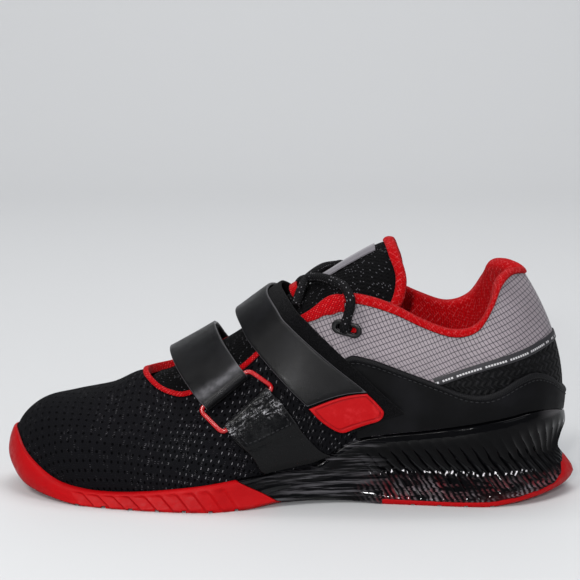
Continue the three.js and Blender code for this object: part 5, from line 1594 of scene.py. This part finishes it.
def collar_piece(last, sizes, finish):
    s = np.linspace(COLLAR_FRONT, AROUND - COLLAR_FRONT, 420)
    t = np.minimum(s, AROUND - s)
    pad = collar_pad(last, t)
    roll = sizes.collar_roll / MM * (1.2 - 0.2 * smooth(13.5, 15.5, t))
    depth = sizes.collar_depth / MM
    inner = -last.upper_thickness - GAP
    fat = inner - pad
    soft = 0.25 * np.sin(s * 9.0) * np.sin(s * 3.7 + 1.0)
    outline = rounded(sections(len(s), (
        (GAP, GAP), (GAP, 1.3), (0.6 * roll, 1.7), (roll * 1.04, 0.4), (roll * 1.12, inner - 0.3 * pad),
        (0.75 * roll, fat + 0.4), (-0.05 * depth, fat - 0.25 + soft), (-0.3 * depth, fat - 0.2 + soft),
        (-0.55 * depth, fat + 0.1), (-0.8 * depth, inner - 0.45 * pad), (-depth, inner - 1.0),
        (-depth, inner), (-0.4 * depth, inner), (GAP, inner),
    )))
    points = rim_points(last, s, outline[..., 0], outline[..., 1])
    return piece_mesh("padded_collar", points, [finish], uv=wrapped_cloth(points, 30), crease=60)


def insole_piece(last, sizes, finish):
    s = np.arange(220) * AROUND / 220
    high = sizes.insole_thickness / MM
    rings = []
    for share, draw in ((0, 0), (0.6, 0), (0.85, 0.4), (1, 1.2)):
        z = last.deck(s) + high * share
        point = last.skin(s, last.wall_share(s, z), -last.upper_thickness - INSOLE_GAP - draw)
        point[:, 2] = z
        rings.append(point)
    return piece_mesh("sock_liner", np.array(rings), [finish], ends="ladder", crease=60)


# Tongue


def tongue_drop(last, t, q):
    beside = 1 - smooth(0, 0.35, np.minimum(np.abs(q - 1), np.abs(2 - q)))
    side = np.where((q < 1) | (q > 2), 1.0, beside)
    padded = collar_pad(last, t) + 2 * FOLD_GAP + EDGING
    return 3.6 + padded * smooth(11.9, COLLAR_FRONT, t) * side


def tongue_point(last, t, q, lift):
    t, q = np.broadcast_arrays(np.asarray(t, float), np.asarray(q, float))
    return last.body(t, q, lift - tongue_drop(last, t, q))


TONGUE_START, TONGUE_TOP = 3.4, 14.3


def tongue_top(q):
    """Station of the tongue's top edge: it runs back beside the crest and forward again at the sides."""
    rows = np.array(TONGUE_TOP_ROWS)
    return TONGUE_TOP + eased(rows[:, 0], rows[:, 1], np.abs(q - 1.5))


def tongue_piece(last, sizes, finish):
    thick = sizes.tongue_thickness / MM
    t = np.linspace(TONGUE_START, TONGUE_TOP, 130)
    q = np.linspace(0.9, 2.1, 60)
    place = t[:, None] + (tongue_top(q) - TONGUE_TOP)[None] * smooth(12.5, TONGUE_TOP, t)[:, None]
    outer = tongue_point(last, place, q[None], 0.0)
    inner = tongue_point(last, place[:, ::-1], q[None, ::-1], -thick)
    middle = -thick / 2
    left = tongue_point(last, place[:, 0], 0.893, middle)[:, None]
    right = tongue_point(last, place[:, -1], 2.107, middle)[:, None]
    normals = unit(tongue_point(last, place, q[None], 1.0) - outer)
    fold = np.zeros(outer.shape[:2])
    for place, width, depth in ((11.4, 0.35, -0.7), (10.9, 0.3, 0.5), (12.6, 0.4, -0.35)):
        fold += depth * np.exp(-(((t[:, None] - place) / width) ** 2)) * np.sin(math.pi * (q[None] - 1))
    outer = outer + normals * fold[..., None]
    rows = np.concatenate([left, outer, right, inner], axis=1)
    front = [rows[0] + np.array([-18.0 * x, 0, -18.0 * x * 0.62]) for x in (1, 0.75, 0.5, 0.25)]
    points = np.concatenate([np.array(front), rows])
    return piece_mesh("tongue_pad", points, [finish], uv=wrapped_cloth(points, 30), crease=60)


def tongue_binding_piece(last, sizes, finish):
    thick = sizes.tongue_thickness / MM
    over = FOLD_GAP + EDGING
    drawn = rounded(np.array([
        [-3.4, 0.5], [-3.6, over * 0.8], [-2.0, over + 0.7], [0.2, over + 0.5], [over + 0.5, over - 0.8],
        [over + 0.6, -thick / 2], [over + 0.4, -thick - over + 0.7], [-1.0, -thick - over - 0.2],
        [-3.4, -thick - over], [-3.4, -thick - FOLD_GAP], [FOLD_GAP, -thick - FOLD_GAP],
        [FOLD_GAP, 0.5],
    ]))
    q = np.linspace(0.9, 2.1, 90)
    top = tongue_top(q)
    edge, before = tongue_point(last, top, q, 0.0), tongue_point(last, top - 0.5, q, 0.0)
    per_station = np.linalg.norm(edge - before, axis=-1) / 0.5
    ahead = unit(edge - before)
    along, out = drawn[:, 0], drawn[:, 1]
    t = top[:, None] + np.minimum(along, 0)[None] / per_station[:, None]
    points = tongue_point(last, t, q[:, None], out[None])
    points = points + ahead[:, None] * np.maximum(along, 0)[None, :, None]
    return piece_mesh("tongue_edge", points, [finish], uv=wrapped_cloth(points, 20), crease=60)


def label_piece(last, finish):
    t, q = np.linspace(*LABEL_STATIONS, 50), np.linspace(*LABEL_SHARES, 14)
    outer = tongue_point(last, t[:, None], q[None], GAP + 0.7)
    inner = tongue_point(last, t[:, None], q[None, ::-1], GAP)
    points = np.concatenate([outer, inner], axis=1)
    cloth = np.zeros((len(t), points.shape[1] + 1, 2))
    cloth[..., 0] = path_lengths(points[:, :1])[:, 0][:, None]
    cloth[:, :14, 1] = path_lengths(outer.transpose(1, 0, 2)).T
    return piece_mesh("tongue_strip", points, [finish], uv=cloth, crease=40)


# Lacing


def lace_paths(last, sizes):
    """Middle line of each strand: out of the eyelet, over the edge, and across under the keeper."""
    wide = sizes.lace_width / MM
    paths = []
    for mirrored in (False, True):
        points = []
        for place, (t, q, clear) in enumerate(LACE_ROWS):
            share = 3 - q if mirrored else q
            lift = (clear + 0.5) * wide
            if place < 3:
                points.append(last.body(t, share, lift))
            else:
                points.append(tongue_point(last, t, share, lift))
        share = 2.17 if mirrored else 0.83
        start = [last.body(12.6, share, x) for x in (-5.0, -1.0)]
        points = np.array(start + points)
        paths.append(eased(path_lengths(points), points, np.linspace(0, path_lengths(points)[-1], 90)))
    return paths


def keeper_piece(last, finish):
    rows = np.array(KEEPER_ROWS)
    f = np.linspace(0, 1, 40)
    q = np.interp(f, np.linspace(0, 1, len(rows)), rows[:, 0])
    rise = eased(np.linspace(0, 1, len(rows)), rows[:, 1], f)
    steps = np.linspace(-0.13, 0.13, 8)
    lift = GAP + 0.6 + 3.0 * rise
    middle = tongue_point(last, 11.05 + steps[None], q[:, None], lift[:, None])
    return band_piece("keeper_loop", middle, 1.2, [finish])


# Straps, rings and bands

ACROSS = (0.0, 0.012, 0.035, 0.08, 0.2, 0.35, 0.5, 0.65, 0.8, 0.92, 0.965, 0.988, 1.0)


def band_piece(name, rows, thickness, finishes, edge=0.35, crease=60, fold=None, lined=False):
    """Flat band with round edges through rows of points across its width, left to right.

    fold is the row of its turn round a bar; a lined band has its second finish before the turn.
    """
    rows = np.asarray(rows, float)
    half = thickness / 2
    middles = (rows[:, 0] + rows[:, -1]) / 2
    along = np.gradient(middles, axis=0)
    up = unit(np.cross(along, rows[:, -1] - rows[:, 0]))
    across = np.concatenate([np.zeros((len(rows), 1)),
                             np.cumsum(np.linalg.norm(np.diff(rows, axis=1), axis=-1), axis=1)], axis=1)
    near = np.minimum(across, across[:, -1:] - across)
    round_off = 1 - np.clip(near / max(edge * 2, 1e-6), 0, 1)
    share = np.sqrt(np.clip(1 - 0.93 * round_off**2, 0, 1))
    run = np.concatenate([[0], np.cumsum(np.linalg.norm(np.diff(middles, axis=0), axis=-1))])
    from_end = np.minimum(run, run[-1] - run)
    taper = np.sqrt(np.clip(1 - 0.8 * (1 - np.clip(from_end / 0.6, 0, 1)) ** 2, 0, 1))
    rise = (share * taper[:, None] * half)[..., None] * up[:, None]
    top, bottom = rows + rise, (rows - rise)[:, ::-1]
    points = np.concatenate([top, bottom], axis=1)
    count = rows.shape[1]
    cloth = np.zeros((len(rows), points.shape[1] + 1, 2))
    cloth[..., 0] = run[:, None]
    cloth[:, :count, 1] = across
    cloth[:, count:2 * count, 1] = across[:, ::-1]
    face_tags = np.zeros((len(rows) - 1, points.shape[1]), int)
    if lined:
        face_tags[:fold] = 1
    rim = np.minimum(near, from_end[:, None])
    marks = {"rim": np.concatenate([rim, rim[:, ::-1]], axis=1)}
    if fold is not None:
        # fold marks where painted highlights lie past the turn, and bend a thin line at the turn for
        # another.
        folded = np.exp(-(((run - run[fold] - 8.0) / 4.5) ** 2))
        bend = np.exp(-(((run - run[fold] + 2.2) / 0.7) ** 2))
        marks["fold"] = np.broadcast_to(folded[:, None], points.shape[:2])
        marks["bend"] = np.broadcast_to(bend[:, None], points.shape[:2])
    return piece_mesh(name, points, finishes, uv=cloth, tags=face_tags, marks=marks, crease=crease)


def body_rows(last, places, lift, spacing=2.0):
    """Dense rows across the body that follow a list of (left, right) edge places at one lift."""
    places = np.array(places, float)
    middle = last.body(places[:, :, 0].mean(1), places[:, :, 1].mean(1), lift)
    run = path_lengths(middle)
    count = max(int(run[-1] / spacing) + 1, 3)
    wanted = np.linspace(0, run[-1], count)
    smooth_places = eased(run, places, wanted)
    f = np.array(ACROSS)
    left, right = smooth_places[:, 0], smooth_places[:, 1]
    t = left[:, :1] + (right[:, :1] - left[:, :1]) * f
    q = left[:, 1:] + (right[:, 1:] - left[:, 1:]) * f
    side = np.where(q < 1.5, t, -t)
    lip_share = last.wall_share(side, last.lip(side) + 2 * CUP_GAP)
    return last.body(t, np.clip(q, lip_share, 3 - lip_share), lift)


def round_ended(rows, radius):
    """Rows of a band drawn in to round off the corners of its far end."""
    middles = (rows[:, 0] + rows[:, -1]) / 2
    run = path_lengths(middles)
    left = run[-1] - run
    draw = radius - np.sqrt(np.clip(radius**2 - np.clip(radius - left, 0, radius) ** 2, 0, None))
    width = np.linalg.norm(rows[:, -1] - rows[:, 0], axis=-1)
    keep = np.clip(1 - 2 * draw / width, 0.05, 1)
    middle = rows[:, len(ACROSS) // 2][:, None]
    return middle + (rows - middle) * keep[:, None, None]


def bar_row(last, places, lift):
    (left, right) = np.array(places, float)
    ends = last.body(np.array([left[0], right[0]]), np.array([left[1], right[1]]), lift)
    middle = last.body((left[0] + right[0]) / 2, (left[1] + right[1]) / 2, lift)
    swell = middle - ends.mean(0)
    f = np.array(ACROSS)[:, None]
    return ends[0] + (ends[1] - ends[0]) * f + swell


def folded_rows(last, sizes, under, place, over, rest):
    """Rows of a band that comes up under a bar, turns round it and runs back over itself."""
    thick = sizes.strap_thickness / MM
    fold = sizes.ring_wire / MM / 2 + 0.3 + thick / 2
    inner = rest + thick / 2
    bar_lift, outer = inner + fold, inner + thick + LAYER_GAP
    bar = bar_row(last, place, bar_lift)
    normal = unit(bar_row(last, place, bar_lift + 1)[6] - bar[6])
    before, after = body_rows(last, under, inner), body_rows(last, over, outer)
    across = unit(bar[-1] - bar[0])
    heading = bar[6] - before[-1][6]
    heading = heading - across * (heading @ across)
    heading = unit(heading - normal * (heading @ normal))
    angles = np.linspace(-math.pi / 2, math.pi / 2, 15)
    turned = np.array([bar + fold * (math.cos(a) * heading + math.sin(a) * normal) for a in angles])
    return before, turned, after, bar


def joined_rows(parts, passes=6):
    """One run of rows, with the joins between its parts eased."""
    gaps = []
    for a, b in zip(parts[:-1], parts[1:]):
        steps = max(int(np.linalg.norm(b[0][6] - a[-1][6]) / 1.5), 1)
        f = (np.arange(1, steps) / steps)[:, None, None]
        gaps.append(a[-1] + (b[0] - a[-1]) * f)
    pieces, free = [], []
    for i, part in enumerate(parts):
        pieces.append(part)
        free.append(np.zeros(len(part)))
        if i < len(gaps):
            pieces.append(gaps[i])
            free.append(np.ones(len(gaps[i])))
    rows, free = np.concatenate(pieces), np.concatenate(free)
    for _ in range(4):
        free = np.maximum(free, 0.6 * np.maximum(np.roll(free, 1), np.roll(free, -1)))
    free[0] = free[-1] = 0
    for _ in range(passes):
        eased_rows = rows.copy()
        eased_rows[1:-1] = (rows[:-2] + 2 * rows[1:-1] + rows[2:]) / 4
        rows = rows + (eased_rows - rows) * free[:, None, None]
    return rows


def taut(rows, fold, clear=1, passes=260):
    """Rows of a band pulled straight over hollows, leaving the turn round its bar as it is."""
    rows = rows.copy()
    free = np.ones(len(rows), bool)
    free[max(fold - 7 - clear, 0):fold + 8 + clear] = False
    free[[0, -1]] = False
    along = np.gradient((rows[:, 0] + rows[:, -1]) / 2, axis=0)
    up = unit(np.cross(along, rows[:, -1] - rows[:, 0]))
    middle = rows.mean((0, 1))
    sign = np.where(np.sum(up * (rows.mean(1) - middle), -1) < 0, -1.0, 1.0)
    up = (up * sign[:, None])[:, None]
    for _ in range(passes):
        chord = (np.roll(rows, 1, 0) + np.roll(rows, -1, 0)) / 2 - rows
        lift = np.clip(np.sum(chord * up, -1, keepdims=True), 0, None)
        rows = rows + np.where(free[:, None, None], lift * up, 0.0)
    across = unit(rows[:, -1] - rows[:, 0])[:, None]
    for _ in range(90):
        chord = (np.roll(rows, 1, 0) + np.roll(rows, -1, 0)) / 2 - rows
        shift = np.sum(chord * across, -1, keepdims=True) * across
        rows = rows + np.where(free[:, None, None], shift, 0.0)
    return rows


def ring_path(first_bar, second_bar, wire, over=1.6, corner=3.5):
    def stretched(bar):
        across = unit(bar[-1] - bar[0]) * (over + wire / 2)
        return bar[0] - across, bar[-1] + across

    (a, b), (d, c) = stretched(first_bar), stretched(second_bar)
    corners = [a, b, c, d]
    path = []
    for i, point in enumerate(corners):
        before, after = corners[i - 1], corners[(i + 1) % 4]
        start = point + unit(before - point) * corner
        end = point + unit(after - point) * corner
        f = np.linspace(0, 1, 11)[:, None]
        path.extend((1 - f) ** 2 * start + 2 * f * (1 - f) * point + f * f * end)
        after_start = after + unit(point - after) * corner
        path.extend(end + (after_start - end) * np.linspace(0, 1, 12)[1:-1, None])
    path = np.array(path)
    path = np.concatenate([path, path[:1]])
    run = path_lengths(path)
    return np.array([np.interp(np.linspace(0, run[-1], 140, endpoint=False), run, path[:, k])
                     for k in range(3)]).T


STRAPS = {
    "forefoot": (FOREFOOT_UNDER, FOREFOOT_BAR, FOREFOOT_OVER, STRAP_REST),
    "instep": (INSTEP_UNDER, INSTEP_BAR, INSTEP_OVER, STRAP_REST),
}
ANCHORS = {
    "forefoot": (LATERAL_ANCHOR_UNDER, LATERAL_ANCHOR_BAR, LATERAL_ANCHOR_OVER, BAND_REST),
    "instep": (MEDIAL_ANCHOR_UNDER, MEDIAL_ANCHOR_BAR, MEDIAL_ANCHOR_OVER, STRAP_REST),
}
TABS = {"forefoot": FOREFOOT_TAB, "instep": INSTEP_TAB}


# Sizes and colours


def size(name, description, default):
    return FloatProperty(name=name, description=description, default=default, unit="LENGTH",
                         subtype="DISTANCE", precision=4)


def tone(name, description, *screen):
    return FloatVectorProperty(name=name, description=description, default=srgb(*screen),
                               subtype="COLOR", size=3, min=0.0, max=1.0)


LAST_SIZES = (
    "length", "ball_width", "heel_width", "forefoot_deck", "heel_lift", "instep_height",
    "back_height", "toe_spring", "arch_rise", "lip_height", "ledge", "upper_thickness", "collar_padding",
)


class ShoeSizes(PropertyGroup):
    length: size("Length", "Outsole from toe to heel", 0.304)
    ball_width: size("Ball width", "Sole across the ball of the foot", 0.108)
    heel_width: size("Heel width", "Sole across the heel", 0.086)
    forefoot_deck: size("Forefoot deck", "Deck over the floor at the ball", 0.0065)
    heel_lift: size("Heel lift", "Rise of the deck from ball to heel", 0.021)
    instep_height: size("Instep height", "Upper over the deck at the instep", 0.082)
    back_height: size("Back height", "Upper over the deck at the heel", 0.09)
    toe_spring: size("Toe spring", "Rise of the toe over the floor", 0.0055)
    arch_rise: size("Arch rise", "Rise of the underside at the arch", 0.0024)
    lip_height: size("Lip height", "Greatest rise of the sole's lip over the deck", 0.02)
    ledge: size("Ledge", "How far the sole stands out past the upper's foot", 0.01)
    lug_pitch: size("Lug pitch", "Distance between the forefoot's side lugs", 0.0085)
    lug_depth: size("Lug depth", "Depth of the grooves between them", 0.0013)
    lug_lean: size("Lug lean", "How far the lugs' tops lie ahead of their feet", 0.009)
    fin_pitch: size("Fin pitch", "Distance between the heel unit's fins", 0.0057)
    fin_depth: size("Fin depth", "Depth of the troughs between them", 0.0015)
    fin_lean: size("Fin lean", "How far the fins' tops lie ahead of their feet", 0.026)
    upper_thickness: size("Upper thickness", "Wall of the upper", 0.0022)
    counter_thickness: size("Counter thickness", "Overlay round the heel", 0.0012)
    collar_padding: size("Collar padding", "Thickness of the pad inside the collar", 0.0045)
    collar_roll: size("Collar roll", "Rise of the collar's roll over the rim", 0.004)
    collar_depth: size("Collar depth", "Drop of the pad inside the collar", 0.024)
    tongue_thickness: size("Tongue thickness", "Thickness of the tongue", 0.0045)
    insole_thickness: size("Insole thickness", "Thickness of the insole", 0.0045)
    strap_thickness: size("Strap thickness", "Thickness of straps and bands", 0.0018)
    tab_thickness: size("Tab thickness", "Thickness of the straps' end tabs", 0.0012)
    ring_wire: size("Ring wire", "Thickness of the rings' wire", 0.0024)
    lace_width: size("Lace width", "Thickness of the lace", 0.005)
    eyelet_length: size("Eyelet length", "Length of the top eyelets", 0.016)
    eyelet_width: size("Eyelet width", "Width of the top eyelets", 0.0075)
    eyelet_thickness: size("Eyelet thickness", "Height of the top eyelets' rim", 0.0012)


class ShoeColours(PropertyGroup):
    red: tone("Red", "Rubber, linings, rings and tabs", 154, 3, 8)
    black: tone("Black", "Vamp, straps and counter", 4, 4, 5)
    smoke: tone("Smoke", "Moulded heel unit", 3, 3, 4)
    grey: tone("Grey", "Ripstop cloth of the back part and the tongue's strip", 127, 119, 123)
    floor: tone("Floor", "Studio floor and backdrop", 190, 191, 192)


# Operators


class Builder:
    """Shared by the operators: the shoe's sizes, colours and last."""

    bl_options = {"REGISTER", "UNDO"}

    def invoke_build(self, context):
        sizes, colours = context.scene.shoe_sizes, context.scene.shoe_colours
        return Last(sizes), sizes, colours


class SHOE_OT_sole(Builder, Operator):
    """Builds the forefoot rubber, the heel rubber and the moulded heel unit"""

    bl_idname = "shoe.sole"
    bl_label = "Sole"

    def execute(self, context):
        last, sizes, colours = self.invoke_build(context)
        rubber = rubber_finish(colours)
        settle(forefoot_outsole(last, sizes, rubber), "outsole_rubber", "outsole_forefoot")
        settle(heel_outsole(last, rubber), "outsole_rubber", "outsole_heel")
        settle(heel_unit(last, sizes, smoke_finish(colours)), "smoke_moulding", "heel_unit")
        return {"FINISHED"}


class SHOE_OT_upper(Builder, Operator):
    """Builds the upper with its mesh, ripstop and heel cloths and its two lace holes"""

    bl_idname = "shoe.upper"
    bl_label = "Upper"

    def execute(self, context):
        last, sizes, colours = self.invoke_build(context)
        finishes = [vamp_finish(colours), ripstop_finish(colours), heel_cloth_finish(colours),
                    inside_finish(colours)]
        piece = upper_piece(last, finishes, sizes.upper_thickness / MM)
        for name, t, q, turn in EYELETS:
            cut_with(piece, eyelet_cutter(last, t, q, turn, 4 * sizes.upper_thickness / MM))
        settle(piece, "mesh", "upper")
        return {"FINISHED"}


class SHOE_OT_overlays(Builder, Operator):
    """Builds the heel counter and the tape above it"""

    bl_idname = "shoe.overlays"
    bl_label = "Overlays"

    def execute(self, context):
        last, sizes, colours = self.invoke_build(context)
        finishes = [overlay_finish(colours), welt_finish(colours)]
        counter = counter_piece(last, finishes, sizes.counter_thickness / MM)
        settle(counter, "matte_overlay", "counter")
        s = np.linspace(12.55, AROUND - 12.55, 400)
        place = counter_top(np.minimum(s, AROUND - s)) - 3.9 / last.wall_length(s)
        lift = OVERLAY_GAP + sizes.counter_thickness / MM
        seam = last.skin(s, place, lift + 0.08)
        up = unit(last.skin(s, place, lift + 1.0) - seam)
        seams = line_piece("counter_stitches", [(seam, up)],
                           stitch_tree(thread_finish("counter_thread", srgb(20, 20, 23))),
                           Spacing=0.0028, Length=0.0021, Thickness=0.0006)
        settle(seams, "matte_overlay")
        settle(tape_piece(last, tape_finish()), "matte_overlay")
        return {"FINISHED"}


class SHOE_OT_linings(Builder, Operator):
    """Builds the padded collar, the edging of the throat and the insole"""

    bl_idname = "shoe.linings"
    bl_label = "Linings"

    def execute(self, context):
        last, sizes, colours = self.invoke_build(context)
        collar = collar_piece(last, sizes, knit_finish(colours))
        settle(collar, "lining_knit", "collar_pad")
        edging = binding_piece(last, edging_finish(colours))
        settle(edging, "binding_tape", "throat_binding")
        insole = insole_piece(last, sizes, inside_finish(colours))
        settle(insole, "sockliner", "insole")
        return {"FINISHED"}


class SHOE_OT_tongue(Builder, Operator):
    """Builds the padded tongue, its folded edge and the plain strip on its crest"""

    bl_idname = "shoe.tongue"
    bl_label = "Tongue"

    def execute(self, context):
        last, sizes, colours = self.invoke_build(context)
        tongue = tongue_piece(last, sizes, tongue_finish(colours))
        settle(tongue, "tongue_mesh", "tongue")
        settle(tongue_binding_piece(last, sizes, knit_finish(colours)), "lining_knit", "tongue_binding")
        settle(label_piece(last, strip_finish()), "label_strip", "tongue_label")
        return {"FINISHED"}


class SHOE_OT_lacing(Builder, Operator):
    """Builds the lace, the loop it crosses under and the two top eyelets"""

    bl_idname = "shoe.lacing"
    bl_label = "Lacing"

    def execute(self, context):
        last, sizes, colours = self.invoke_build(context)
        eyelet = eyelet_finish(colours)
        for name, t, q, turn in EYELETS:
            piece = eyelet_piece(last, sizes, eyelet, name, t, q, turn)
            settle(piece, "eyelet_plastic", "eyelet_" + name)
        tree = cord_tree(lace_finish(colours), sizes.lace_width / MM)
        for side, path in zip(("lateral", "medial"), lace_paths(last, sizes)):
            piece = line_piece("lace_" + side, [(path, (0.0, 0.0, 1.0))], tree,
                               Thickness=sizes.lace_width)
            settle(piece, "lace_cord", "lace")
        settle(keeper_piece(last, edging_finish(colours)), "binding_tape", "lace_keeper")
        return {"FINISHED"}


class SHOE_OT_straps(Builder, Operator):
    """Builds the two straps with their rings, the bands that hold the rings, and the end tabs"""

    bl_idname = "shoe.straps"
    bl_label = "Straps"

    def execute(self, context):
        last, sizes, colours = self.invoke_build(context)
        thick = sizes.strap_thickness / MM
        strap = [strap_finish(colours), pile_finish(colours)]
        stitches = stitch_tree(thread_finish("band_thread", srgb(24, 24, 27)))
        for name, (under, place, over, rest) in STRAPS.items():
            before, turned, after, bar = folded_rows(last, sizes, under, place, over, rest)
            rows = joined_rows([before, turned, after])
            fold = int(np.argmin(np.linalg.norm(rows[:, 6] - turned[7, 6], axis=-1)))
            piece = band_piece("strap_" + name + "_band", taut(rows, fold), thick, strap, fold=fold,
                               lined=True)
            settle(piece, "strap", "strap_" + name)
            under, place, over, rest = ANCHORS[name]
            before, turned, after, held = folded_rows(last, sizes, under, place, over, rest)
            rows = joined_rows([before, turned, after])
            piece = band_piece("anchor_" + name + "_band", rows, thick, [anchor_finish(colours)],
                               fold=len(before) + 12)
            settle(piece, "anchor_band", "anchor_" + name)
            fold = len(before) + 14
            lines = [box_line(rows, fold + 3, len(rows) - 3, 0.1, 0.9, thick / 2 + 0.06)]
            seams = line_piece("anchor_" + name + "_stitches", lines, stitches,
                               Spacing=0.0026, Length=0.0019, Thickness=0.0006)
            settle(seams, "anchor_band")
            wire = sizes.ring_wire / MM
            piece = piece_mesh("ring_" + name + "_wire", wire_rings(ring_path(bar, held, wire), wire / 2),
                               [ring_finish(colours)], closed=True)
            settle(piece, "ring_metal", "ring_" + name)
            lift = STRAP_REST + thick + LAYER_GAP + sizes.tab_thickness / MM / 2
            rows = round_ended(body_rows(last, TABS[name], lift, 0.5), 2.5)
            piece = band_piece("tab_" + name + "_end", rows, sizes.tab_thickness / MM,
                               [tab_finish(colours)])
            settle(piece, "tab", "tab_" + name)
        return {"FINISHED"}


LOOK_AT = (0, 0, 0.05)


class SHOE_OT_stage(Builder, Operator):
    """Sets the plain floor, the backdrop, the lights and the camera"""

    bl_idname = "shoe.stage"
    bl_label = "Stage"

    def execute(self, context):
        colours = context.scene.shoe_colours
        ground = Finish("studio_ground", tuple(colours.floor), 0.6, 0.5)
        rows = []
        for x in (-3.0, 3.0):
            flat = [(x, y, 0.0) for y in np.linspace(-3, 1.2, 6)]
            turn = [(x, 1.2 + 0.8 * math.sin(a), 0.8 - 0.8 * math.cos(a))
                    for a in np.linspace(0.1, math.pi / 2, 14)]
            wall = [(x, 2.0, z) for z in np.linspace(1.0, 3.5, 6)]
            rows.append(flat + turn + wall)
        points = np.array(rows)
        n = points.shape[1]
        mesh = bpy.data.meshes.new("studio_floor")
        faces = [(i, n + i, n + i + 1, i + 1) for i in range(n - 1)]
        mesh.from_pydata(points.reshape(-1, 3).tolist(), [], faces)
        mesh.materials.append(ground.material)
        mesh.shade_smooth()
        floor = bpy.data.objects.new("studio_floor", mesh)
        context.scene.collection.objects.link(floor)
        lamps = (
            ("wall", (0.0, 0.7, 2.3), (3.0, 0.6), 27.0, (1.0, 1.0, 1.0), (0, 2.0, 0.9)),
            ("key", (-0.9, -1.1, 1.5), (0.8, 0.5), 24.0, (1.0, 0.985, 0.96), LOOK_AT),
            ("fill", (1.3, -1.2, 0.7), (1.2, 1.0), 6.5, (0.95, 0.97, 1.0), LOOK_AT),
            ("top", (0.2, 0.3, 1.6), (1.2, 0.9), 11.0, (1.0, 1.0, 1.0), LOOK_AT),
            ("spark", (-0.12, -1.2, 0.42), (0.07, 0.06), 9.0, (1.0, 1.0, 1.0), LOOK_AT),
        )
        for name, place, area, power, colour, aim in lamps:
            light = bpy.data.lights.new(name, "AREA")
            light.shape, light.size, light.size_y = "RECTANGLE", area[0], area[1]
            light.energy, light.color = power, colour
            lamp = bpy.data.objects.new(name, light)
            lamp.location = place
            lamp.rotation_euler = (Vector(aim) - Vector(place)).to_track_quat("-Z", "Y").to_euler()
            context.scene.collection.objects.link(lamp)
        world = bpy.data.worlds.new("studio")
        world.use_nodes = True
        background = world.node_tree.nodes["Background"]
        background.inputs["Color"].default_value = (0.9, 0.93, 1.0, 1.0)
        background.inputs["Strength"].default_value = 0.35
        context.scene.world = world
        camera = bpy.data.cameras.new("camera")
        camera.lens, camera.sensor_width = 129.04, 36.0
        eye = bpy.data.objects.new("camera", camera)
        eye.location = (0.0, -1.0833, 0.2980)
        aim = Vector((0, 0, 0.107)) - eye.location
        eye.rotation_euler = aim.to_track_quat("-Z", "Y").to_euler()
        context.scene.collection.objects.link(eye)
        context.scene.camera = eye
        context.scene.view_settings.view_transform = "Standard"
        return {"FINISHED"}


OPERATORS = (
    SHOE_OT_sole, SHOE_OT_upper, SHOE_OT_overlays, SHOE_OT_linings, SHOE_OT_tongue,
    SHOE_OT_lacing, SHOE_OT_straps, SHOE_OT_stage,
)


class SHOE_PT_pieces(Panel):
    bl_label = "Shoe"
    bl_idname = "SHOE_PT_pieces"
    bl_space_type = "VIEW_3D"
    bl_region_type = "UI"
    bl_category = "Shoe"

    def draw(self, context):
        for group in (context.scene.shoe_sizes, context.scene.shoe_colours):
            column = self.layout.column()
            for name in group.__annotations__:
                column.prop(group, name)
        for operator in OPERATORS:
            self.layout.operator(operator.bl_idname)


CLASSES = (ShoeSizes, ShoeColours, *OPERATORS, SHOE_PT_pieces)


def register():
    for item in CLASSES:
        bpy.utils.register_class(item)
    bpy.types.Scene.shoe_sizes = PointerProperty(type=ShoeSizes)
    bpy.types.Scene.shoe_colours = PointerProperty(type=ShoeColours)


def unregister():
    del bpy.types.Scene.shoe_colours
    del bpy.types.Scene.shoe_sizes
    for item in reversed(CLASSES):
        bpy.utils.unregister_class(item)


def main():
    register()
    for operator in OPERATORS:
        group, call = operator.bl_idname.split(".")
        getattr(getattr(bpy.ops, group), call)()
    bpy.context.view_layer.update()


if __name__ == "__main__":
    main()
